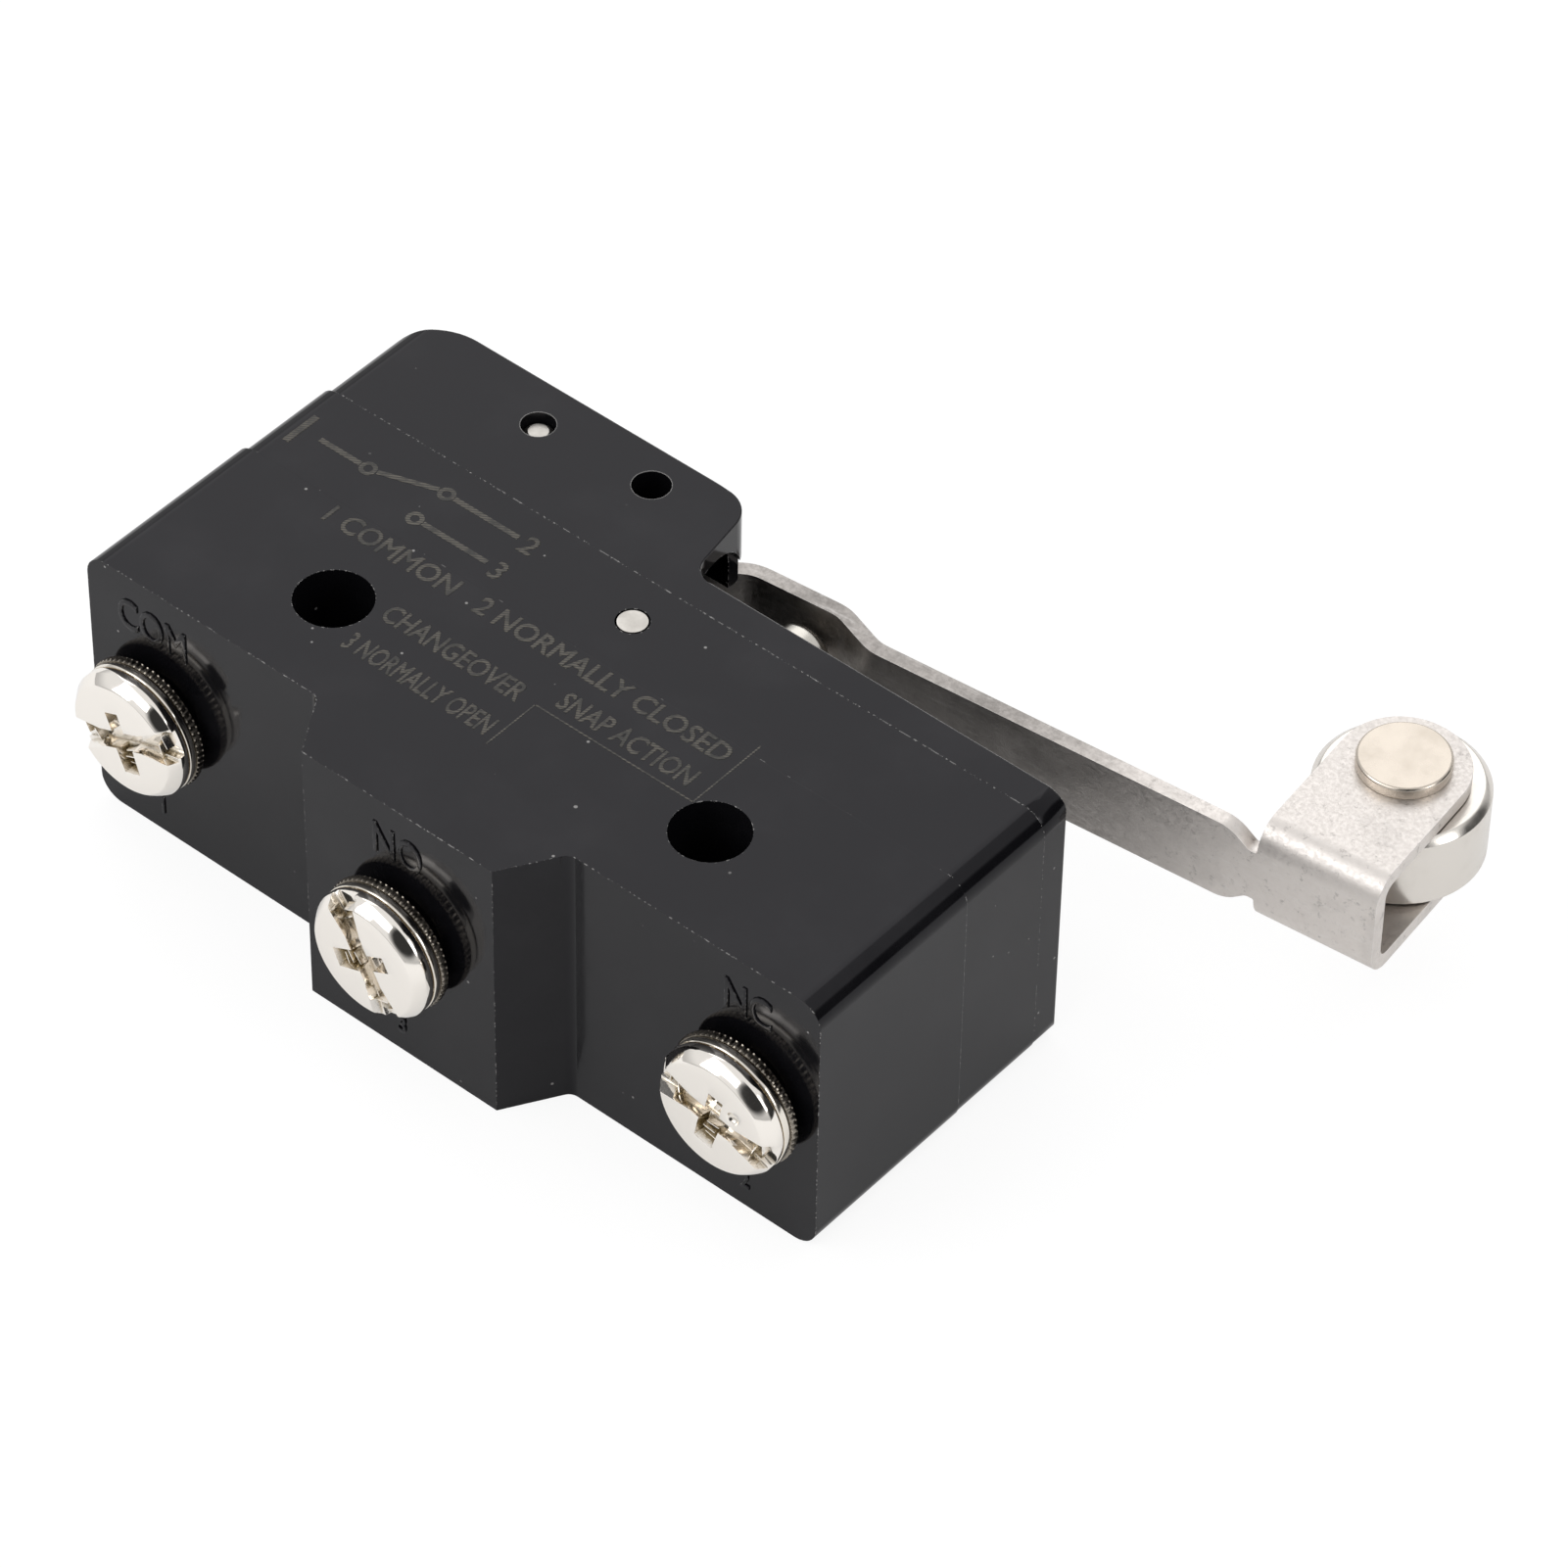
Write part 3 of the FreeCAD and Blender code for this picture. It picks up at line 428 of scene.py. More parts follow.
class Bench(Wiring):
    """Wires the nodes of one material round a Principled shader."""

    def __init__(self, name: str) -> None:
        """Start an empty material with its shader and output.

        Args:
            name: Name of the material.
        """
        self.material = bpy.data.materials.new(name)
        self.material.use_nodes = True
        super().__init__(self.material.node_tree)
        self.output = self.node("OutputMaterial")
        self.shader = self.node("BsdfPrincipled")
        self.tree.links.new(self.shader.outputs["BSDF"], self.output.inputs["Surface"])

    def sets(self, **values: float | Colour) -> None:
        """Set constants on the shader's own sockets, named with underscores.

        Args:
            values: Constants by input name.
        """
        for name, value in values.items():
            socket = self.shader.inputs[name.replace("_", " ")]
            socket.default_value = (*value, 1.0) if isinstance(value, tuple) else value

    def drive(self, name: str, socket: Socket) -> None:
        """Link a socket to one of the shader's inputs."""
        self.tree.links.new(socket, self.shader.inputs[name])

    def place(
        self, centre: Sequence[float] = (0, 0, 0), turn: Sequence[float] = (0, 0, 0),
        scale: Sequence[float] = (1, 1, 1),
    ) -> Socket:
        """Object coordinates about a centre, turned and then stretched.

        Args:
            centre: Point that becomes the origin.
            turn: Angles in radians, for a TEXTURE mapping.
            scale: Stretch along each turned axis.

        Returns:
            The vector socket.
        """
        position = self.node("TexCoord").outputs["Object"]
        turned = self.node(
            "Mapping", {"Vector": position, "Location": tuple(centre), "Rotation": tuple(turn)},
            vector_type="TEXTURE")
        return self.node(
            "Mapping", {"Vector": turned.outputs[0], "Scale": tuple(scale)}, vector_type="POINT"
        ).outputs[0]

    def noise(self, vector: Socket, scale: float, detail: float = 3, rough: float = 0.55) -> Socket:
        """Noise value between 0 and 1."""
        return self.node(
            "TexNoise", {"Vector": vector, "Scale": scale, "Detail": detail, "Roughness": rough}
        ).outputs[0]

    def blend(self, share: Socket | float, first: Colour | Socket, second: Colour | Socket) -> Socket:
        """Mix two colours by a share."""
        pair = [(*one, 1.0) if isinstance(one, tuple) else one for one in (first, second)]
        return self.node("Mix", {0: share, 6: pair[0], 7: pair[1]}, data_type="RGBA").outputs[2]

    def bump(self, height: Socket, strength: float, depth: float, below: Socket | None = None) -> Socket:
        """Turn a height into a normal.

        Args:
            height: Height value.
            strength: Share of the effect.
            depth: Real depth in metres.
            below: A normal that this one is laid over.

        Returns:
            The normal socket.
        """
        inputs = {"Height": height, "Strength": strength, "Distance": depth}
        if below is not None:
            inputs["Normal"] = below
        return self.node("Bump", inputs).outputs[0]

    def edge(self, radius: float) -> Socket:
        """How near the surface is to an edge, from 0 on a flat to about 1.

        Args:
            radius: Reach of the edge in metres.

        Returns:
            The value socket.
        """
        round_normal = self.node("Bevel", {"Radius": radius}, samples=6).outputs[0]
        flat_normal = self.node("NewGeometry").outputs["Normal"]
        facing = self.node("VectorMath", {0: round_normal, 1: flat_normal}, operation="DOT_PRODUCT")
        return self.band(facing.outputs["Value"], 0.999, 0.80)

    def hollow(self, reach: float) -> Socket:
        """How deep the surface lies in a recess, from 0 in the open to 1."""
        open_sky = self.node("AmbientOcclusion", {"Distance": reach}, samples=8).outputs["AO"]
        return self.band(open_sky, 0.85, 0.2)

    def distance_from_axis(self, centre: Vector, axis: str) -> Socket:
        """Distance of the surface from an axis through a centre.

        Args:
            centre: A point on the axis.
            axis: Letter of the axis that it runs along.

        Returns:
            The distance socket.
        """
        keep = {"X": (0, 1, 1), "Y": (1, 0, 1), "Z": (1, 1, 0)}[axis]
        flat = self.place(centre=centre, scale=keep)
        return self.node("VectorMath", {0: flat}, operation="LENGTH").outputs["Value"]


class Finish:
    """A procedural finish with a name, wired on a bench of its own."""

    name: str

    def wire(self, bench: Bench) -> None:
        """Wire the finish on its bench."""
        raise NotImplementedError

    def make(self) -> Material:
        """Build the material.

        Returns:
            The material.
        """
        bench = Bench(self.name)
        self.wire(bench)
        return bench.material


@dataclass(frozen=True)
class MouldedPhenolic(Finish):
    """Glossy black moulding with dusty pale specks, bright chips on its edges, two broken flash lines and a
    painted highlight along the upper edge of the lever side.
    """

    name: str = "black_phenolic"
    colour: Colour = (0.0046, 0.0045, 0.0056)
    worn: Colour = (0.010, 0.0098, 0.0112)
    dust: Colour = (0.42, 0.41, 0.40)
    witness: float = 5.5 * MM
    seam: float = 11.65 * MM
    lever_side: float = 13.5 * MM
    upper_side: float = 17.4 * MM
    rubbed_width: float = 0.3 * MM
    chip_reach: float = 0.11 * MM
    flash_width: float = 0.045 * MM
    line_width: float = 0.04 * MM
    line_depth: float = 0.02 * MM
    skin_depth: float = 0.008 * MM
    flow_depth: float = 0.06 * MM
    speck_strength: float = 0.7
    specks: tuple[tuple[float, float, float], ...] = ((1500.0, 0.972, 0.16), (520.0, 0.985, 0.07))

    def wire(self, bench: Bench) -> None:
        """Wire the finish on its bench.

        Args:
            bench: Bench of the new material.
        """
        where = bench.place()
        cloud = bench.noise(where, 180, 4)
        colour = bench.blend(bench.band(cloud, 0.45, 0.8), self.colour, self.worn)
        parts = bench.node("SeparateXYZ", {"Vector": where})
        along = parts.outputs["Y"]
        edges = bench.edge(self.chip_reach)
        chips = bench.times(edges, bench.band(bench.noise(where, 4300, 3, 0.65), 0.54, 0.60))
        pale_share = bench.larger(self.dust_specks(bench, where), chips)
        streaks = bench.noise(bench.place(scale=(1, 0.2, 1)), 1700, 3)
        for height, share, strength in ((self.witness, 0.62, 0.30), (self.seam, 0.54, 0.50)):
            broken = bench.band(streaks, share, share + 0.06)
            flash = bench.times(self.near(bench, along, height, self.flash_width), broken)
            pale_share = bench.larger(pale_share, bench.times(flash, strength))
        # Painted highlight: a thin pale line on the round of the upper edge at the lever side, where the
        # edge would catch the light from behind. It is mixed in with the dust colour.
        highlight_band = bench.times(bench.band(along, self.lever_side - self.rubbed_width, self.lever_side),
            bench.band(parts.outputs["Z"], self.upper_side - self.rubbed_width, self.upper_side))
        rim = bench.times(bench.times(highlight_band, edges), 0.9)
        pale_share = bench.larger(pale_share, rim)
        bench.drive("Base Color", bench.blend(pale_share, colour, self.dust))
        smear = bench.noise(bench.place(scale=(1, 0.3, 1)), 90, 5, 0.7)
        gloss = bench.band(smear, 0.35, 0.75, 0.07, 0.15)
        bench.drive("Roughness", bench.larger(gloss, bench.times(pale_share, 0.6)))
        bench.sets(IOR=1.50, Specular_IOR_Level=0.235, Specular_Tint=(0.96, 0.94, 1.0))
        line = bench.math("SUBTRACT", 1.0, self.near(bench, along, self.witness, self.line_width))
        skin = bench.bump(bench.noise(where, 1500, 2), 0.10, self.skin_depth)
        flow = bench.bump(bench.noise(where, 160, 2), 0.10, self.flow_depth, skin)
        bench.drive("Normal", bench.bump(line, 0.25, self.line_depth, flow))

    def near(self, bench: Bench, along: Socket, height: float, reach: float) -> Socket:
        """How near the surface lies to a level, from 1 on it to 0 past the reach."""
        away = bench.math("ABSOLUTE", bench.math("SUBTRACT", along, height))
        return bench.band(away, 0.0, reach, 1.0, 0.0)

    def dust_specks(self, bench: Bench, where: Socket) -> Socket:
        """Scatter a few specks of two sizes.

        Args:
            bench: Bench of the new material.
            where: Object coordinates.

        Returns:
            Socket of their brightness.
        """
        found = None
        for scale, rare, size in self.specks:
            cells = bench.node(
                "TexVoronoi", {"Vector": where, "Scale": scale, "Randomness": 1.0}, feature="F1")
            lot = bench.node("SeparateColor", {"Color": cells.outputs["Color"]}).outputs[0]
            dot = bench.band(cells.outputs["Distance"], size, size * 0.5)
            speck = bench.times(bench.band(lot, rare, rare + 0.01), dot)
            found = speck if found is None else bench.larger(found, speck)
        return bench.times(found, self.speck_strength)


@dataclass(frozen=True)
class RolledSteel(Finish):
    """Stainless strip, with painted shade that darkens its run and painted light towards the clevis,
    standing in for the shadowed and open floor it reflects, and brighter at its cut edges.
    """

    name: str = "rolled_stainless"
    colour: Colour = (0.76, 0.715, 0.68)
    dull: Colour = (0.30, 0.28, 0.265)
    bright: Colour = (0.86, 0.84, 0.82)
    turn: float = math.radians(5.67)
    clevis: tuple[float, float] = (31.0 * MM, 42.0 * MM)
    rim_width: float = 0.07 * MM
    grain_depth: float = 0.006 * MM
    pit_depth: float = 0.030 * MM
    speckle_depth: float = 0.018 * MM

    def wire(self, bench: Bench) -> None:
        """Wire the finish on its bench.

        Args:
            bench: Bench of the new material.
        """
        turn = (0, 0, self.turn)
        plain = bench.place(turn=turn)
        cloud = bench.noise(plain, 260, 5, 0.68)
        grain = bench.noise(bench.place(turn=turn, scale=(0.12, 1, 1)), 4200, 3, 0.7)
        speckle = bench.noise(plain, 4200, 3, 0.7)
        along = bench.node("SeparateXYZ", {"Vector": plain}).outputs["X"]
        # Painted shade and light: darker along the run, where the strip reflects floor shaded by the case,
        # and lighter towards the clevis.
        painted_reflection_share = bench.band(along, *self.clevis, 0.0, 0.85)
        mottle = bench.band(cloud, 0.30, 0.72, 0.0, 0.35)
        colour = bench.blend(bench.math("ADD", painted_reflection_share, mottle), self.dull, self.colour)
        colour = bench.blend(bench.band(grain, 0.5, 0.8, 0.0, 0.25), colour, self.bright)
        pits = bench.band(bench.noise(plain, 1900, 4, 0.75), 0.56, 0.70, 0.0, 0.45)
        colour = bench.blend(pits, colour, self.dull)
        edges = bench.edge(self.rim_width)
        bench.drive("Base Color", bench.blend(edges, colour, self.bright))
        bench.sets(Metallic=1.0, Anisotropic=0.15)
        rough = bench.band(speckle, 0.3, 0.7, 0.34, 0.54)
        bench.drive("Roughness", bench.math("SUBTRACT", rough, bench.times(edges, 0.12)))
        lined = bench.bump(grain, 0.18, self.grain_depth)
        grains = bench.bump(bench.noise(plain, 1500, 4, 0.7), 0.5, self.pit_depth, lined)
        bench.drive("Normal", bench.bump(speckle, 0.5, self.speckle_depth, grains))


@dataclass(frozen=True)
class TurnedSteel(Finish):
    """Lathe-turned steel, with fine rings about its axis, small dents and a bruised rim."""

    name: str
    centre: Vector
    axis: str
    colour: Colour = (0.77, 0.73, 0.68)
    stain: Colour = (0.34, 0.27, 0.18)
    rings: float = 9000.0
    ring_depth: float = 0.004 * MM
    roughness: float = 0.24
    bruise_width: float = 0.26 * MM
    bruise_depth: float = 0.03 * MM
    dent_depth: float = 0.012 * MM

    def wire(self, bench: Bench) -> None:
        """Wire the finish on its bench.

        Args:
            bench: Bench of the new material.
        """
        where = bench.place()
        radius = bench.distance_from_axis(self.centre, self.axis)
        ring = bench.node(
            "TexNoise", {"W": radius, "Scale": self.rings, "Detail": 2.0}, noise_dimensions="1D").outputs[0]
        cloud = bench.noise(where, 500, 4, 0.6)
        rim = bench.edge(self.bruise_width)
        bruise = bench.times(rim, bench.band(bench.noise(where, 1300, 4, 0.65), 0.52, 0.58))
        colour = bench.blend(bench.band(cloud, 0.5, 0.85, 0.0, 0.2), self.colour, self.stain)
        bench.drive("Base Color", bench.blend(bruise, colour, self.stain))
        bench.sets(Metallic=1.0)
        bench.drive("Roughness", bench.band(cloud, 0.3, 0.7, self.roughness - 0.05, self.roughness + 0.08))
        turned = bench.bump(ring, 0.4, self.ring_depth)
        dents = bench.bump(bench.noise(where, 1900, 3), 0.25, self.dent_depth, turned)
        bench.drive("Normal", bench.bump(bruise, 0.6, self.bruise_depth, dents))


@dataclass(frozen=True)
class NickelPlate(Finish):
    """Bright barrel-plated nickel, with painted shade that makes it darker and yellower down in its
    recesses.
    """

    name: str = "nickel_plate"
    colour: Colour = (0.97, 0.925, 0.865)
    deep: Colour = (0.36, 0.30, 0.19)
    reach: float = 0.9 * MM
    roughness: float = 0.07
    pit_width: float = 0.12 * MM
    ripple_depth: float = 0.012 * MM
    tear_depth: float = 0.07 * MM

    def wire(self, bench: Bench) -> None:
        """Wire the finish on its bench.

        Args:
            bench: Bench of the new material.
        """
        where = bench.place()
        cloud = bench.noise(where, 700, 4, 0.6)
        depth = bench.hollow(self.reach)
        torn = bench.noise(bench.place(scale=(1, 0.35, 1)), 3600, 3, 0.7)
        flaw = bench.times(depth, bench.band(torn, 0.60, 0.66))
        # Painted shade: ambient occlusion darkens and yellows the recesses.
        colour = bench.blend(depth, self.colour, self.deep)
        spots = bench.edge(self.pit_width)
        pits = bench.times(spots, bench.band(bench.noise(where, 3100, 2), 0.58, 0.66))
        colour = bench.blend(bench.times(pits, 0.8), colour, self.deep)
        bench.drive("Base Color", bench.blend(flaw, colour, self.colour))
        bench.sets(Metallic=1.0)
        shine = bench.band(cloud, 0.3, 0.8, self.roughness * 0.6, self.roughness * 1.8)
        bench.drive("Roughness", bench.math("ADD", shine, bench.times(depth, 0.16)))
        ripple = bench.bump(cloud, 0.25, self.ripple_depth)
        bench.drive("Normal", bench.bump(bench.times(torn, depth), 0.9, self.tear_depth, ripple))


@dataclass(frozen=True)
class PlainMetal(Finish):
    """Plain wrought metal with a faint mottle, for the pieces inside the case."""

    name: str
    colour: Colour
    shade: Colour
    roughness: float = 0.3
    grain_depth: float = 0.006 * MM

    def wire(self, bench: Bench) -> None:
        """Wire the finish on its bench.

        Args:
            bench: Bench of the new material.
        """
        where = bench.place()
        cloud = bench.noise(where, 600, 4)
        grain = bench.noise(bench.place(scale=(0.1, 1, 1)), 4000, 2)
        bench.drive("Base Color", bench.blend(bench.band(cloud, 0.3, 0.75), self.shade, self.colour))
        bench.sets(Metallic=1.0)
        bench.drive("Roughness", bench.band(cloud, 0.3, 0.7, self.roughness - 0.06, self.roughness + 0.08))
        bench.drive("Normal", bench.bump(grain, 0.3, self.grain_depth))


@dataclass(frozen=True)
class MouldedRed(Finish):
    """Dull red thermoplastic of the pusher."""

    name: str = "red_thermoplastic"
    colour: Colour = (0.36, 0.035, 0.02)
    pale: Colour = (0.45, 0.07, 0.045)
    skin_depth: float = 0.01 * MM

    def wire(self, bench: Bench) -> None:
        """Wire the finish on its bench.

        Args:
            bench: Bench of the new material.
        """
        where = bench.place()
        cloud = bench.noise(where, 500, 3)
        bench.drive("Base Color", bench.blend(bench.band(cloud, 0.4, 0.8), self.colour, self.pale))
        bench.drive("Roughness", bench.band(cloud, 0.3, 0.7, 0.35, 0.5))
        bench.drive("Normal", bench.bump(bench.noise(where, 2500, 2), 0.2, self.skin_depth))


@dataclass(frozen=True)
class LaserMark(Finish):
    """Mark burnt pale into the black plastic in fine slanting strokes."""

    name: str = "laser_mark"
    colour: Colour = (0.115, 0.102, 0.082)
    gap: Colour = (0.022, 0.021, 0.019)
    pitch: float = 0.17 * MM
    slant: float = math.radians(32)

    def wire(self, bench: Bench) -> None:
        """Wire the finish on its bench.

        Args:
            bench: Bench of the new material.
        """
        where = bench.place(turn=(0, 0, self.slant))
        across = bench.node("SeparateXYZ", {"Vector": where}).outputs["Y"]
        stroke = bench.math("SINE", bench.times(across, 2 * math.pi / self.pitch))
        patchy = bench.band(bench.noise(where, 1400, 3), 0.3, 0.6)
        share = bench.times(bench.band(stroke, -0.5, 0.5), patchy)
        bench.drive("Base Color", bench.blend(share, self.gap, self.colour))
        bench.sets(Roughness=0.5, IOR=1.5)


@dataclass
class Finishes:
    """Every finish of the switch, made once."""

    made: dict[Slot, Material] = field(default_factory=dict)

    def build(self) -> None:
        """Make one material for each slot."""
        roller = centre_of("roller")
        plunger = centre_of("plunger")
        self.made = {
            Slot.CASE: MouldedPhenolic().make(),
            Slot.LEVER: RolledSteel().make(),
            Slot.ROLLER: TurnedSteel("turned_roller", roller, "Z", roughness=0.2).make(),
            Slot.RIVET: TurnedSteel("spun_rivet", roller, "Z", (0.64, 0.575, 0.50), roughness=0.26).make(),
            Slot.PLUNGER: TurnedSteel("turned_plunger", plunger, "Y", (0.66, 0.63, 0.58)).make(),
            Slot.SCREW: NickelPlate().make(),
            Slot.WASHER: NickelPlate(
                "plated_washer", (0.86, 0.81, 0.73), (0.42, 0.33, 0.21), 0.4 * MM, 0.10).make(),
            Slot.PIN: PlainMetal("cut_pin", (0.72, 0.69, 0.65), (0.42, 0.40, 0.37), 0.35).make(),
            Slot.SPRING: PlainMetal("spring_wire", (0.55, 0.55, 0.54), (0.4, 0.4, 0.39)).make(),
            Slot.BLADE: PlainMetal("copper_strip", (0.72, 0.42, 0.22), (0.55, 0.3, 0.15)).make(),
            Slot.BRASS: PlainMetal("brass_strip", (0.74, 0.55, 0.22), (0.55, 0.4, 0.15)).make(),
            Slot.SILVER: PlainMetal("contact_silver", (0.85, 0.85, 0.83), (0.7, 0.7, 0.68), 0.2).make(),
            Slot.PUSHER: MouldedRed().make(),
        }

    def dress(self, piece: Piece, slot: Slot) -> None:
        """Give a piece the finish of a slot."""
        piece.data.materials.clear()
        piece.data.materials.append(self.made[slot])

    def dress_node(self, node: str, slot: Slot) -> None:
        """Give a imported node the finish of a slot, keeping its mesh.

        Args:
            node: Name of the node.
            slot: Its material slot.
        """
        shown = bpy.data.objects[node]
        if not shown.material_slots:
            shown.data.materials.append(None)
        for place in shown.material_slots:
            place.link = "OBJECT"
            place.material = self.made[slot]


def enter(piece: Piece, body: str, slot: Slot, finishes: Finishes, *nodes: str) -> None:
    """Enter a finished piece: its finish, body, slot and the nodes it stands for.

    Args:
        piece: The finished piece.
        body: Name of the body that it rides on.
        slot: Its material slot.
        finishes: The made materials.
        nodes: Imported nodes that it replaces.
    """
    finishes.dress(piece, slot)
    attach(piece, body)
    if nodes:
        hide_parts(*nodes)
    LOG.info("%s: %d faces on %s", piece.name, len(piece.data.polygons), body)


# Sub-assemblies


@dataclass
class MouldedCase:
    """Base and cover with rounded edges, the moulded words and the pins in the sides."""

    edge: float = 0.09 * MM
    edge_angle: float = 28
    hump_edge: float = 0.38 * MM
    hump_run: tuple[float, float] = (9.8 * MM, 13.8 * MM)
    hump_foot: float = 13.5 * MM
    pin_edge: float = 0.03 * MM
    face_reach: float = 0.02 * MM
    washer_gap: float = 0.62 * MM
    word_height: float = 2.05 * MM
    word_width: float = 0.74
    word_level: float = 14.65 * MM
    number_height: float = 1.15 * MM
    number_level: float = 1.90 * MM
    word_rise: float = 0.04 * MM
    word_edge: float = 0.05 * MM
    pieces: dict[str, Piece] = field(default_factory=dict)

    def build(self) -> None:
        """Model the case's pieces."""
        self.pieces["base"] = dressed_copy("base", "moulded_base", self.edge, self.edge_angle)
        self.pieces["cover"] = self.cover()
        for pin in ("lever_pin", "cover_pin_upper", "cover_pin_lower"):
            self.pieces[pin] = dressed_copy(pin, f"cut_{pin}", self.pin_edge)
        for terminal in Terminal:
            washer_low, washer_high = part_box(f"{terminal.prefix}_tooth_washer")
            middle = (washer_low[0] + washer_high[0]) / 2
            face = washer_high[1] + self.washer_gap
            word = self.raised_word(terminal.word, self.word_height, middle, face, self.word_level)
            number = self.raised_word(terminal.number, self.number_height, middle, face, self.number_level)
            self.pieces[f"{terminal.prefix}_word"] = word
            self.pieces[f"{terminal.prefix}_number"] = number

    def cover(self) -> Piece:
        """Model the cover, whose hump has a fuller round along its right side.

        Returns:
            The cover.
        """
        cover = clean_copy("cover", "moulded_cover")
        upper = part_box("cover")[1][2]

        def on_hump(edge: Edge) -> bool:
            """Tell whether an edge runs round the hump's right side, at its upper face."""
            ends = [point.co for point in edge.verts]
            return all(
                end.z > upper - self.face_reach and end.y > self.hump_foot
                and self.hump_run[0] < end.x < self.hump_run[1] for end in ends)

        bevel_where(cover, on_hump, self.hump_edge, 4)
        round_edges(cover, self.edge, self.edge_angle)
        return cover

    def raised_word(self, text: str, height: float, x: float, y: float, z: float) -> Piece:
        """Raise a narrow word from a face that looks along -Y.

        Args:
            text: The word.
            height: Height of its capitals.
            x: Its middle.
            y: The face that it stands on.
            z: Its middle height.

        Returns:
            The word as a mesh.
        """
        word = lettering(
            text, (x, y, z), height, math.radians(90), align_x="CENTER", align_y="CENTER",
            extrude=self.word_rise, bevel_depth=self.word_edge, resolution_u=4)
        word.name = f"raised_{text}"
        word.scale = (self.word_width, 1, 1)
        settle(word)
        shade(word, 30)
        return word

    def dress(self, finishes: Finishes) -> None:
        """Give each piece its finish and body.

        Args:
            finishes: The made materials.
        """
        for name, piece in self.pieces.items():
            if "pin" in name:
                enter(piece, "case", Slot.PIN, finishes, name)
            elif name in ("base", "cover"):
                enter(piece, "case", Slot.CASE, finishes, name)
            else:
                enter(piece, "case", Slot.CASE, finishes)


@dataclass(frozen=True)
class RecessCut:
    """One bar cut into a screw's crown: its start, reach, width, depth, turn and splay."""

    start: tuple[float, float]
    reach: float
    width: float
    depth: float
    turn: float
    splay: float


@dataclass
class TerminalScrew:
    """Pan-head terminal screw with a flat crown, a flared slot and a half-crushed cross recess.

    It is modelled once, upright with its crown at z = 0, and then copied to each terminal.
    """

    head_height: float
    shank_length: float
    head_radius: float = 3.80 * MM
    under_edge: float = 0.10 * MM
    bar_share: float = 2.2
    rim_height: float = 0.60 * MM
    bevel_height: float = 0.58 * MM
    bevel_width: float = 0.50 * MM
    shank_radius: float = 1.98 * MM
    tip_edge: float = 0.4 * MM
    slot_width: float = 1.12 * MM
    slot_flare: float = 1.5
    slot_depth: float = 0.88 * MM
    cutters: tuple[RecessCut, ...] = (
        RecessCut((0, 0), 1.75 * MM, 1.05 * MM, 1.05 * MM, math.radians(90), 1.0),
        RecessCut((0, 0), 2.10 * MM, 1.55 * MM, 0.78 * MM, math.radians(-93), 0.85),
        RecessCut((1.5 * MM, 0.20 * MM), 2.8 * MM, 0.85 * MM, 0.66 * MM, math.radians(8), 1.6),
        RecessCut((1.3 * MM, -0.25 * MM), 2.8 * MM, 0.75 * MM, 0.52 * MM, math.radians(-10), 1.4),
        RecessCut((-1.4 * MM, 0.20 * MM), 2.8 * MM, 0.80 * MM, 0.58 * MM, math.radians(171), 1.5),
        RecessCut((-1.5 * MM, -0.22 * MM), 2.7 * MM, 0.80 * MM, 0.70 * MM, math.radians(190), 1.5),
    )
    folds: tuple[tuple[float, float, float, float], ...] = (
        (0.10, -1.62, -0.56, 84), (-0.06, -1.22, -0.52, 92), (0.06, -0.84, -0.60, 99),
        (3.02, 0.16, -0.66, 12), (2.55, -0.28, -0.62, -9), (-3.05, 0.22, -0.62, 4),
        (-2.50, -0.26, -0.70, 16))
    crown_edge: float = 0.045 * MM
    crown_angle: float = 24
    shoulder: float = 0.06 * MM
    shoulder_draw: float = 0.4
    lip_share: float = 0.16
    crown_shares: tuple[tuple[float, float], ...] = ((0.7, 0.75), (0.3, 0.40))
    cutter_above: float = 0.5 * MM
    arm_foot: tuple[float, float, float] = (0.86, 0.66, 1)
    fold_size: tuple[float, float, float] = (0.17 * MM, 0.95 * MM, 0.55 * MM)
    fold_crest: tuple[float, float, float] = (0.35, 0.8, 1)
    fold_lean: float = 0.07 * MM
    shank_bury: float = 0.01 * MM
    segments: int = 96
    shank_segments: int = 48

    def build(self) -> Piece:
        """Model the screw.

        Returns:
            The screw, upright.
        """
        screw = self.head()
        self.recess(screw)
        self.torn_folds(screw)
        round_edges(screw, self.crown_edge, self.crown_angle)
        self.add_shank(screw)
        return screw

    def head(self) -> Piece:
        """Build the head up from its underside by extruding and drawing in.

        Returns:
            The head, with its crown at z = 0.
        """
        radius = self.head_radius - self.under_edge
        clear_selection()
        bpy.ops.mesh.primitive_circle_add(
            vertices=self.segments, radius=radius, fill_type="NGON", location=(0, 0, -self.head_height))
        head = bpy.context.object
        head.name = "upright_screw"
        bpy.ops.object.transform_apply(location=True, rotation=True, scale=True)
        flat = self.head_radius - self.bevel_width
        lip = self.bevel_width * self.lip_share
        crown = self.head_height - self.rim_height - self.bevel_height
        steps = (
            (self.under_edge, self.head_radius),
            (self.rim_height - self.under_edge - self.shoulder, self.head_radius),
            (self.shoulder, self.head_radius - self.shoulder * self.shoulder_draw),
            (self.bevel_height - self.shoulder, flat + lip),
            (self.shoulder, flat),
            *((crown * rise, flat * draw) for rise, draw in self.crown_shares),
        )
        with editing(head):
            select_mesh()
            for rise, wanted in steps:
                bpy.ops.mesh.extrude_region_move(TRANSFORM_OT_translate={"value": (0, 0, rise)})
                bpy.ops.transform.resize(value=(wanted / radius, wanted / radius, 1))
                radius = wanted
            select_mesh()
            bpy.ops.mesh.normals_make_consistent(inside=False)
        return head

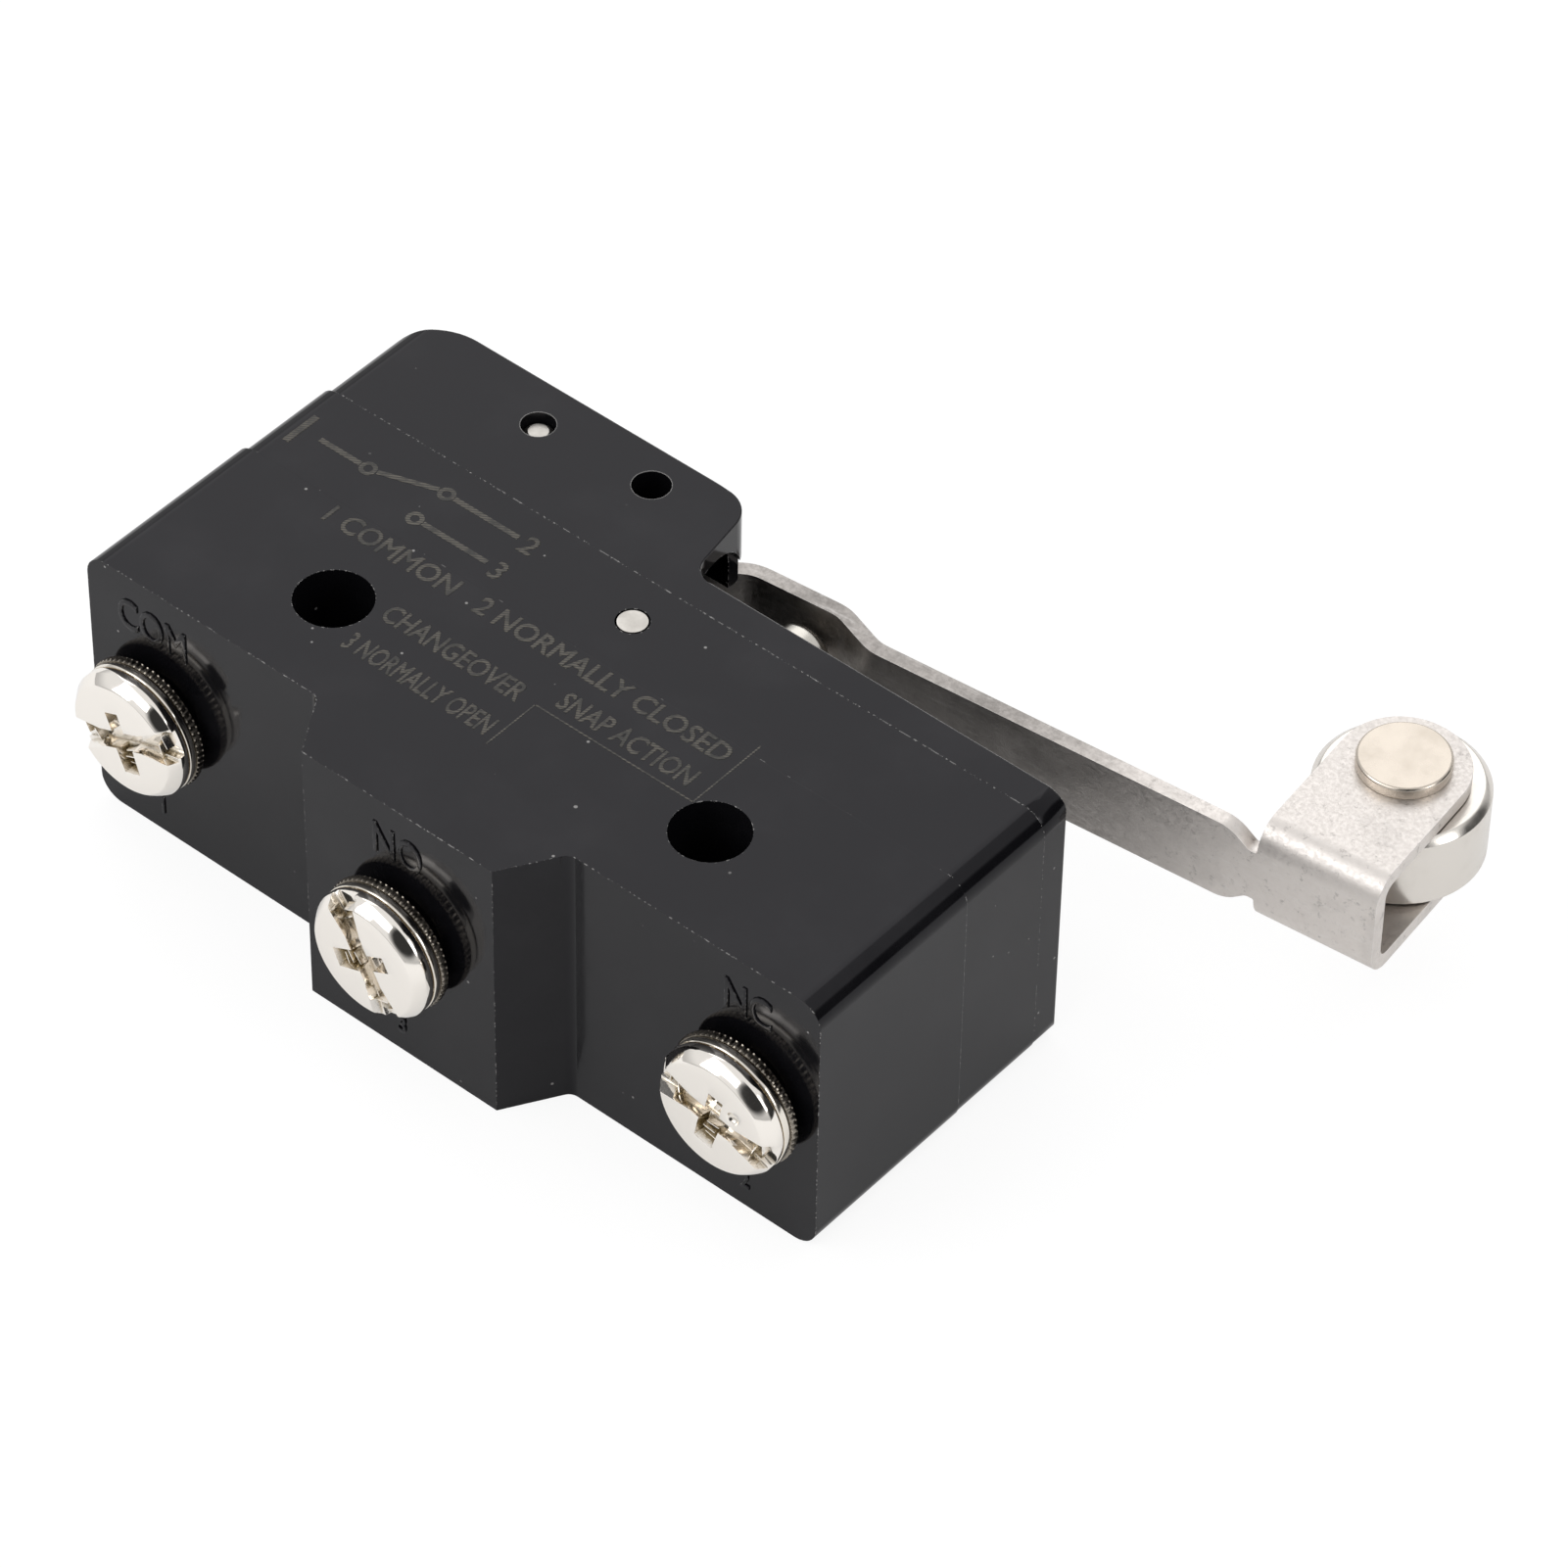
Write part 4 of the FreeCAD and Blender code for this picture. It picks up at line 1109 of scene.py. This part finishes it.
    def flared_bar(self) -> Piece:
        """Make the bar that cuts the slot, wider towards both rims.

        Returns:
            The bar.
        """
        height = self.slot_depth + self.cutter_above
        slot = bar(
            "slot_cutter", (self.head_radius * self.bar_share, self.slot_width, height),
            (0, 0, self.cutter_above - height / 2))
        with editing(slot):
            select_mesh()
            bpy.ops.mesh.subdivide(number_cuts=3)
            pick(slot, faces=lambda face: abs(face.normal.x) > FACING)
            bpy.ops.transform.resize(value=(1, self.slot_flare, 1))
        return slot

    def recess(self, head: Piece) -> None:
        """Cut the slot, its torn ends and the two unlike arms of the cross into the crown.

        Args:
            head: The head to cut.
        """
        cut(head, self.flared_bar())
        for cutter in self.cutters:
            cut(head, self.arm(cutter))

    def arm(self, cutter: RecessCut) -> Piece:
        """Make one tapered bar that leads out from a point of the recess.

        Args:
            cutter: Its place, size and turn.

        Returns:
            The bar.
        """
        height = cutter.depth + self.cutter_above
        arm = bar(
            "arm_cutter", (cutter.reach, cutter.width, height),
            (cutter.reach / 2, 0, self.cutter_above - height / 2))
        with editing(arm):
            pick(arm, faces=lambda face: face.normal.z < -FACING)
            bpy.ops.transform.resize(value=self.arm_foot)
            pick(arm, faces=lambda face: face.normal.x > FACING)
            bpy.ops.transform.resize(value=(1, cutter.splay, 1))
        arm.rotation_euler = (0, 0, cutter.turn)
        arm.location = (*cutter.start, 0)
        settle(arm)
        return arm

    def torn_folds(self, head: Piece) -> None:
        """Lay the thin folds of metal that a slipping driver leaves in the recess.

        Args:
            head: The head, with its recess.
        """
        fold = bar("torn_fold", self.fold_size, (0, 0, 0))
        with editing(fold):
            pick(fold, faces=lambda face: face.normal.z > FACING)
            bpy.ops.transform.resize(value=self.fold_crest)
            bpy.ops.transform.translate(value=(self.fold_lean, 0, 0))
        for x, y, z, turn in self.folds:
            copy = copy_of(fold, "torn_fold_copy")
            copy.rotation_euler = (0, 0, math.radians(turn))
            copy.location = (x * MM, y * MM, z * MM)
            settle(copy)
            cut(head, copy, "UNION")
        bpy.data.objects.remove(fold)

    def add_shank(self, screw: Piece) -> None:
        """Join the plain shank under the head.

        Args:
            screw: The finished head.
        """
        clear_selection()
        bpy.ops.mesh.primitive_cylinder_add(
            vertices=self.shank_segments, radius=self.shank_radius, depth=self.shank_length,
            location=(0, 0, self.shank_bury - self.head_height - self.shank_length / 2))
        shank = bpy.context.object
        with editing(shank):
            pick(shank, faces=lambda face: face.normal.z < -FACING)
            bpy.ops.mesh.bevel(offset=self.tip_edge, segments=1, affect="EDGES")
        cut(screw, shank, "UNION")


@dataclass
class ScrewWasher:
    """A washer turned to a radius and thickness about the upright axis."""

    radius: float
    thickness: float
    bore_radius: float = 2.15 * MM
    segments: int = 256
    split_width: float = 0.30 * MM
    rim_round: float = 0.10 * MM
    rim_angle: float = math.radians(40)
    tooth_edge: float = 0.15 * MM
    tooth_depth: float = 0.10 * MM
    teeth: int = 64

    def ring(self, name: str, round_width: float) -> Piece:
        """Turn a flat ring with rounded rims.

        Args:
            name: Name of the ring.
            round_width: Width of the round at its rims.

        Returns:
            The ring, upright about the origin.
        """
        clear_selection()
        bpy.ops.mesh.primitive_circle_add(vertices=self.segments, radius=self.radius, fill_type="NGON")
        washer = bpy.context.object
        washer.name = name
        with editing(washer):
            select_mesh()
            bpy.ops.mesh.inset(thickness=self.radius - self.bore_radius, use_even_offset=False)
            bpy.ops.mesh.delete(type="FACE")
        apply_modifier(washer, "SOLIDIFY", thickness=self.thickness, offset=0)
        settle(washer)
        apply_modifier(
            washer, "BEVEL", width=round_width, segments=3, limit_method="ANGLE",
            angle_limit=self.rim_angle)
        return washer

    def split(self) -> Piece:
        """Model a spring washer, cut through at one side.

        Returns:
            The washer, upright.
        """
        washer = self.ring("upright_spring_washer", self.rim_round)
        middle = (self.radius + self.bore_radius) / 2
        blade = bar("split_cutter", (self.radius, self.split_width, self.thickness * 4), (middle, 0, 0))
        cut(washer, blade)
        shade(washer, 30)
        return washer

    def toothed(self) -> Piece:
        """Model a toothed washer by drawing in each fourth face of its rim.

        Returns:
            The washer, upright.
        """
        washer = self.ring("upright_tooth_washer", self.tooth_edge)
        step = 2 * math.pi / self.segments
        stride = self.segments // self.teeth

        def in_gap(face: Face) -> bool:
            """Tell whether a face of the outer rim lies between two teeth.

            Args:
                face: The face.

            Returns:
                Whether it does.
            """
            middle = face.calc_center_median()
            outside = math.hypot(middle.x, middle.y) > self.radius * 0.97 and abs(face.normal.z) < 0.5
            return outside and int(math.atan2(middle.y, middle.x) % (2 * math.pi) / step) % stride == 0

        share = 1 - self.tooth_depth / self.radius
        with editing(washer):
            pick(washer, faces=in_gap)
            bpy.ops.transform.resize(value=(share, share, 1))
        shade(washer, 20)
        return washer


@dataclass
class Fasteners:
    """The three terminal screws, each with a spring washer and a toothed washer.

    Each kind is modelled once, from the common terminal's boxes, and copied to its three places.
    """

    turns: dict[Terminal, float] = field(default_factory=lambda: {
        Terminal.COMMON: math.radians(23),
        Terminal.OPEN: math.radians(-63),
        Terminal.CLOSED: math.radians(-11),
    })
    splits: dict[Terminal, float] = field(default_factory=lambda: {
        Terminal.COMMON: math.radians(200),
        Terminal.OPEN: math.radians(160),
        Terminal.CLOSED: math.radians(215),
    })
    dimple: tuple[float, float] = (1.23 * MM, 1.31 * MM)
    dimple_radius: float = 0.40 * MM
    dimple_rise: float = 0.12 * MM
    smooth_angle: float = 26
    pieces: dict[str, Piece] = field(default_factory=dict)

    def build(self) -> None:
        """Model a screw and both washers, and copy them to the terminals."""
        prefix = Terminal.COMMON.prefix
        screw_low, screw_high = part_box(f"{prefix}_screw")
        washer_low, washer_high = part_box(f"{prefix}_spring_washer")
        tooth_low, tooth_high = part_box(f"{prefix}_tooth_washer")
        head_height = washer_low[1] - screw_low[1]
        upright = {
            "screw": TerminalScrew(head_height, screw_high[1] - washer_low[1]).build(),
            "spring_washer": ScrewWasher(
                (washer_high[0] - washer_low[0]) / 2, washer_high[1] - washer_low[1]).split(),
            "tooth_washer": ScrewWasher(
                (tooth_high[0] - tooth_low[0]) / 2, tooth_high[1] - tooth_low[1]).toothed(),
        }
        for terminal in Terminal:
            for kind, model in upright.items():
                node = f"{terminal.prefix}_{kind}"
                piece = copy_of(model, f"plated_{node}")
                if kind == "screw" and terminal is Terminal.CLOSED:
                    self.strike_dimple(piece)
                place = centre_of(node)
                if kind == "screw":
                    place.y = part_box(node)[0][1]
                turn = self.turns[terminal] if kind == "screw" else self.splits[terminal]
                piece.rotation_euler = (math.radians(90), -turn, 0)
                piece.location = place
                settle(piece)
                shade(piece, self.smooth_angle)
                self.pieces[node] = piece
        for model in upright.values():
            bpy.data.objects.remove(model)

    def strike_dimple(self, screw: Piece) -> None:
        """Sink a small round dimple into a crown.

        Args:
            screw: The upright screw.
        """
        clear_selection()
        bpy.ops.mesh.primitive_uv_sphere_add(
            segments=24, ring_count=12, radius=self.dimple_radius,
            location=(*self.dimple, self.dimple_rise))
        cut(screw, bpy.context.object)

    def dress(self, finishes: Finishes) -> None:
        """Give each piece its finish and body, the toothed washers in a darker copy of the plate, which is
        painted shade for the shadow behind the spring washers.

        Args:
            finishes: The made materials.
        """
        # Painted shade: the toothed washers sit in shadow between the spring washers and the case, so their
        # plate is a darkened copy.
        dark_plate = NickelPlate(
            "dark_plate", (0.30, 0.27, 0.23), (0.05, 0.042, 0.03), 0.35 * MM, 0.20).make()
        for node, piece in self.pieces.items():
            slot = Slot.WASHER if "washer" in node else Slot.SCREW
            enter(piece, "case", slot, finishes, node)
            if "tooth" in node:
                piece.data.materials[0] = dark_plate


@dataclass
class RollerLever:
    """Folded lever, its rivet and the roller."""

    sheet_edge: float = 0.07 * MM
    sheet_angle: float = 25
    turned_edge: float = 0.05 * MM
    sheet_normal: Vector = field(default_factory=lambda: Vector((0.0988, -0.9951, 0)))
    neck_ear: tuple[float, float] = (40.9 * MM, 41.5 * MM)
    neck_notch: tuple[float, float] = (42.2 * MM, 43.1 * MM)
    ear_round: float = 0.62 * MM
    notch_round: float = 0.22 * MM
    sheet_span: tuple[float, float] = (0.5 * MM, 1.2 * MM)
    pieces: dict[str, Piece] = field(default_factory=dict)

    def build(self) -> None:
        """Model the lever's pieces."""
        lever = clean_copy("lever", "folded_lever")
        bevel_where(lever, lambda edge: self.through_sheet(edge, self.neck_ear), self.ear_round, 5)
        bevel_where(lever, lambda edge: self.through_sheet(edge, self.neck_notch), self.notch_round, 4)
        round_edges(lever, self.sheet_edge, self.sheet_angle)
        self.pieces["lever"] = lever
        self.pieces["roller"] = dressed_copy("roller", "turned_roller", self.turned_edge)
        self.pieces["roller_axle"] = dressed_copy("roller_axle", "spun_roller_axle", self.turned_edge)

    def through_sheet(self, edge: Edge, span: tuple[float, float]) -> bool:
        """Tell whether a corner edge runs through the strip's thickness within a span of x.

        Args:
            edge: The edge.
            span: Lowest and highest x of its middle.

        Returns:
            Whether it does.
        """
        start, end = (point.co for point in edge.verts)
        along = (end - start).normalized()
        thin = self.sheet_span[0] < (end - start).length < self.sheet_span[1]
        inside = span[0] < (start.x + end.x) / 2 < span[1]
        return thin and inside and abs(along.dot(self.sheet_normal)) > 0.98

    def dress(self, finishes: Finishes) -> None:
        """Give each piece its finish and body.

        Args:
            finishes: The made materials.
        """
        enter(self.pieces["lever"], "lever", Slot.LEVER, finishes, "lever")
        enter(self.pieces["roller"], "roller", Slot.ROLLER, finishes, "roller")
        enter(self.pieces["roller_axle"], "lever", Slot.RIVET, finishes, "roller_axle")


@dataclass
class SnapMechanism:
    """Plunger, which shows, and the pieces inside the case, which keep their solids."""

    crown_round: float = 0.32 * MM
    turned_edge: float = 0.05 * MM
    level_reach: float = 0.01 * MM
    crown_drop: float = 1.0 * MM
    inside: dict[Slot, Sequence[str]] = field(default_factory=lambda: {
        Slot.PUSHER: ("pusher",),
        Slot.SPRING: ("overtravel_spring",),
        Slot.BLADE: ("snap_blade",),
        Slot.SILVER: ("moving_contact", "normally_open_contact", "normally_closed_contact"),
        Slot.BRASS: ("common_terminal", "normally_open_terminal", "normally_closed_terminal"),
    })
    plunger: Piece | None = None

    def build(self) -> None:
        """Model the plunger, whose crown is rounded to a low dome."""
        self.plunger = clean_copy("plunger", "turned_plunger_cap")
        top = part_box("plunger")[1][1]

        def round_crown(edge: Edge) -> bool:
            """Tell whether an edge runs round the crown."""
            start, end = (point.co for point in edge.verts)
            return abs(start.y - end.y) < self.level_reach and start.y > top - self.crown_drop

        bevel_where(self.plunger, round_crown, self.crown_round, 4)
        round_edges(self.plunger, self.turned_edge)

    def dress(self, finishes: Finishes) -> None:
        """Give the plunger its body and every inner node its finish.

        Args:
            finishes: The made materials.
        """
        enter(self.plunger, "plunger", Slot.PLUNGER, finishes, "plunger")
        for slot, nodes in self.inside.items():
            for node in nodes:
                finishes.dress_node(node, slot)
                LOG.info("%s keeps its solid", node)


@dataclass
class CircuitMark:
    """Laser mark on the upper side: the changeover contact's circuit, its words and a frame."""

    stroke: float = 0.34 * MM
    fine: float = 0.09 * MM
    rise: float = 0.012 * MM
    spread: float = 0.05 * MM
    big_letter: float = 2.45 * MM
    letter: float = 1.28 * MM
    drawing_length: float = 15.4 * MM
    pole_place: float = 5.6 * MM
    branch_length: float = 5.4 * MM
    first_line: float = 2.2 * MM
    line_end: float = 0.4 * MM
    number_drop: float = 0.7 * MM
    ring_gap: float = 1.6
    ring_radius: float = 1.5
    big_row: tuple[float, float] = (-10.9 * MM, 7.15 * MM)
    rows: tuple[tuple[str, float, float, float], ...] = (
        ("1 COMMON   2 NORMALLY CLOSED", -4.9 * MM, 22.4 * MM, 4.0 * MM),
        ("SNAP ACTION", 13.6 * MM, 22.4 * MM, 1.6 * MM),
        ("CHANGEOVER", 2.6 * MM, 12.0 * MM, 0.5 * MM),
        ("3 NORMALLY OPEN", 2.5 * MM, 12.3 * MM, -2.3 * MM),
    )
    frame_corners: tuple[tuple[float, float], ...] = (
        (23.4 * MM, 6.2 * MM), (23.4 * MM, 1.0 * MM), (12.9 * MM, 1.0 * MM), (12.9 * MM, -2.7 * MM))
    level: float = 0.0
    pieces: list[Piece] = field(default_factory=list)

    def build(self) -> None:
        """Draw the circuit and the rows of words, and join them into one thin piece."""
        self.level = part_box("base")[1][2]
        left, low = self.big_row
        self.circuit(left, low)
        for text, start, end, y in self.rows:
            self.word(text, start, y, self.letter, end - start)
        for start, end in zip(self.frame_corners, self.frame_corners[1:]):
            self.line(start, end, self.fine)
        take(self.pieces[0])
        for piece in self.pieces:
            piece.select_set(True)
        bpy.ops.object.join()
        mark = bpy.context.object
        mark.name = "laser_circuit_mark"
        settle(mark)
        self.pieces = [mark]

    def circuit(self, left: float, low: float) -> None:
        """Draw the changeover contact: a pole from 1 that lies on 2 and swings to 3.

        Args:
            left: Left end of the drawing.
            low: Its lowest line.
        """
        height = self.big_letter
        middle = low + height / 2
        right = left + self.drawing_length
        pole = left + self.pole_place
        branch = right - self.branch_length
        self.word("1", left, low, height)
        ring = self.stroke * self.ring_gap
        self.line((left + self.first_line, middle), (pole - ring, middle), self.stroke)
        self.ring(pole, middle)
        self.line((pole + ring, middle + ring * 0.2), (branch - ring, low + height), self.stroke)
        for level, number in ((low + height, "2"), (low, "3")):
            self.line((branch + ring, level), (right - self.line_end, level), self.stroke)
            self.ring(branch, level)
            self.word(number, right, level - self.number_drop, self.letter)

    def line(self, start: tuple[float, float], end: tuple[float, float], width: float) -> None:
        """Draw a straight stroke between two points.

        Args:
            start: Its start.
            end: Its end.
            width: Its width.
        """
        reach = Vector(end) - Vector(start)
        middle = (Vector(end) + Vector(start)) / 2
        self.pieces.append(bar(
            "mark_stroke", (reach.length, width, self.rise * 2), (*middle, self.level),
            math.atan2(reach.y, reach.x)))

    def ring(self, x: float, y: float) -> None:
        """Draw a small open circle at a contact point.

        Args:
            x: Its middle along x.
            y: Its middle along y.
        """
        clear_selection()
        radius = self.stroke * self.ring_radius
        bpy.ops.mesh.primitive_circle_add(
            vertices=24, radius=radius, fill_type="NGON", location=(x, y, self.level))
        circle = bpy.context.object
        with editing(circle):
            select_mesh()
            bpy.ops.mesh.inset(thickness=radius * 0.5)
            bpy.ops.mesh.delete(type="FACE")
        apply_modifier(circle, "SOLIDIFY", thickness=self.rise * 2, offset=0)
        self.pieces.append(circle)

    def word(self, text: str, x: float, y: float, height: float, width: float | None = None) -> None:
        """Write a word from its lower left corner, drawn together to a width where one is given.

        Args:
            text: The word.
            x: Its left end.
            y: The line that it stands on.
            height: Height of its capitals.
            width: Its width, where one is given.
        """
        word = lettering(
            text, (x, y, self.level), height, resolution_u=3, bevel_depth=self.spread,
            bevel_resolution=0)
        word.scale.z = self.rise / self.spread
        if width is not None:
            word.scale.x = width / word.dimensions.x
        self.pieces.append(word)

    def dress(self, finishes: Finishes) -> None:
        """Give the mark its finish and body.

        Args:
            finishes: The made materials.
        """
        mark = self.pieces[0]
        mark.data.materials.clear()
        mark.data.materials.append(LaserMark().make())
        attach(mark, "case")
        LOG.info("%s: %d faces on case", mark.name, len(mark.data.polygons))


# Studio


@dataclass
class ProductCamera:
    """Camera of the photograph, solved from the switch's own edges."""

    azimuth: float = 39.55
    elevation: float = 45.16
    roll: float = 1.09
    distance: float = 385.68 * MM
    aim: Vector = field(default_factory=lambda: Vector((13, 5, 9)) * MM)
    right_of_aim: float = 9.991 * MM
    above_aim: float = -0.130 * MM
    focal_length: float = 171.9
    sensor: float = 36.0

    def build(self) -> None:
        """Set up the scene's camera."""
        a, e, r = (math.radians(angle) for angle in (self.azimuth, self.elevation, self.roll))
        back = Vector((math.sin(a) * math.cos(e), -math.cos(a) * math.cos(e), math.sin(e)))
        level = Vector((math.cos(a), math.sin(a), 0))
        upright = back.cross(level)
        right = level * math.cos(r) + upright * math.sin(r)
        up = upright * math.cos(r) - level * math.sin(r)
        eye = self.aim + right * self.right_of_aim + up * self.above_aim + back * self.distance
        data = bpy.data.cameras.new("product_camera")
        data.lens = self.focal_length
        data.sensor_width = self.sensor
        data.clip_start = 0.01
        data.clip_end = 20
        camera = bpy.data.objects.new("product_camera", data)
        camera.matrix_world = Matrix((
            (right.x, up.x, back.x, eye.x),
            (right.y, up.y, back.y, eye.y),
            (right.z, up.z, back.z, eye.z),
            (0, 0, 0, 1)))
        bpy.context.collection.objects.link(camera)
        bpy.context.scene.camera = camera


@dataclass(frozen=True)
class Softbox:
    """One rectangular lamp that looks at the switch."""

    name: str
    place: tuple[float, float, float]
    size: tuple[float, float]
    power: float
    aim: tuple[float, float, float] = (18 * MM, 10 * MM, 10 * MM)

    def build(self) -> None:
        """Hang the lamp and point it at the middle of the switch."""
        data = bpy.data.lights.new(self.name, "AREA")
        data.shape = "RECTANGLE"
        data.size, data.size_y = self.size
        data.energy = self.power
        lamp = bpy.data.objects.new(self.name, data)
        lamp.location = self.place
        towards = Vector(self.aim) - Vector(self.place)
        lamp.rotation_euler = towards.to_track_quat("-Z", "Y").to_euler()
        bpy.context.collection.objects.link(lamp)


@dataclass
class Studio:
    """White floor, soft world and softboxes."""

    floor_colour: Colour = (0.88, 0.88, 0.88)
    floor_size: float = 6.0
    floor_glow: float = 1.10
    seen_share: float = 0.80
    mirrored_share: float = 0.32
    zenith: float = 1.0
    horizon: float = 0.62
    horizon_span: tuple[float, float] = (0.0, 0.40)
    flag_level: float = 0.04
    flags: tuple[tuple[tuple[float, float, float], tuple[float, float]], ...] = (
        ((0.62, -0.58, 0.52), (0.87, 0.955)),
        ((0.75, 0.60, 0.12), (0.86, 0.94)),
    )
    lamps: tuple[Softbox, ...] = (
        Softbox("overhead_softbox", (-0.36, 0.42, 0.62), (0.62, 0.50), 0.74),
        Softbox("front_softbox", (-0.42, -0.62, 0.52), (0.42, 0.34), 0.75),
        Softbox("crown_softbox", (-0.14, -0.50, 0.64), (0.80, 0.26), 1.05),
        Softbox("right_softbox", (0.80, 0.10, 0.42), (0.30, 0.40), 0.80),
    )

    def build(self) -> None:
        """Set up the floor, the world, the lamps and the view transform."""
        self.floor()
        self.world()
        for lamp in self.lamps:
            lamp.build()
        bpy.context.scene.view_settings.view_transform = "Standard"

    def floor(self) -> None:
        """Lay the floor, which also glows for the camera and in reflections."""
        clear_selection()
        bpy.ops.mesh.primitive_plane_add(size=self.floor_size, location=(0, 0, 0))
        plane = bpy.context.object
        plane.name = "studio_floor"
        bench = Bench("studio_floor")
        bench.sets(Base_Color=self.floor_colour, Roughness=1.0, Specular_IOR_Level=0.0)
        path = bench.node("LightPath")
        mirrored = bench.larger(path.outputs["Is Glossy Ray"], path.outputs["Is Transmission Ray"])
        seen = bench.times(path.outputs["Is Camera Ray"], self.seen_share)
        share = bench.math("ADD", seen, bench.times(mirrored, self.mirrored_share))
        glow = bench.node("Emission", {"Color": (1, 1, 1, 1), "Strength": self.floor_glow})
        mixed = bench.node("MixShader", {0: share, 1: bench.shader.outputs[0], 2: glow.outputs[0]})
        bench.tree.links.new(mixed.outputs[0], bench.output.inputs["Surface"])
        plane.data.materials.append(bench.material)

    def world(self) -> None:
        """Light the scene evenly from above, with black flags at the right."""
        world = bpy.data.worlds.new("studio_world")
        bpy.context.scene.world = world
        world.use_nodes = True
        wiring = Wiring(world.node_tree)
        way = wiring.node("TexCoord").outputs["Generated"]
        height = wiring.node("SeparateXYZ", {0: way}).outputs["Z"]
        level = wiring.band(height, *self.horizon_span, self.horizon, self.zenith)
        for direction, span in self.flags:
            towards = Vector(direction).normalized()
            near = wiring.node("VectorMath", {0: way, 1: towards}, operation="DOT_PRODUCT")
            left = wiring.band(near.outputs["Value"], *span, 1.0, self.flag_level)
            level = wiring.times(level, left)
        background = wiring.node("Background", {"Strength": level})
        wiring.node("OutputWorld", {"Surface": background.outputs[0]})


def main() -> None:
    """Build the studio and every sub-assembly in order."""
    logging.basicConfig(level=logging.INFO, format="%(name)s: %(message)s", stream=sys.stdout)
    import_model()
    clear_selection()
    ProductCamera().build()
    Studio().build()
    finishes = Finishes()
    finishes.build()
    for assembly in (MouldedCase(), CircuitMark(), Fasteners(), RollerLever(), SnapMechanism()):
        assembly.build()
        assembly.dress(finishes)
        LOG.info("%s done", type(assembly).__name__)


if __name__ == "__main__":
    main()
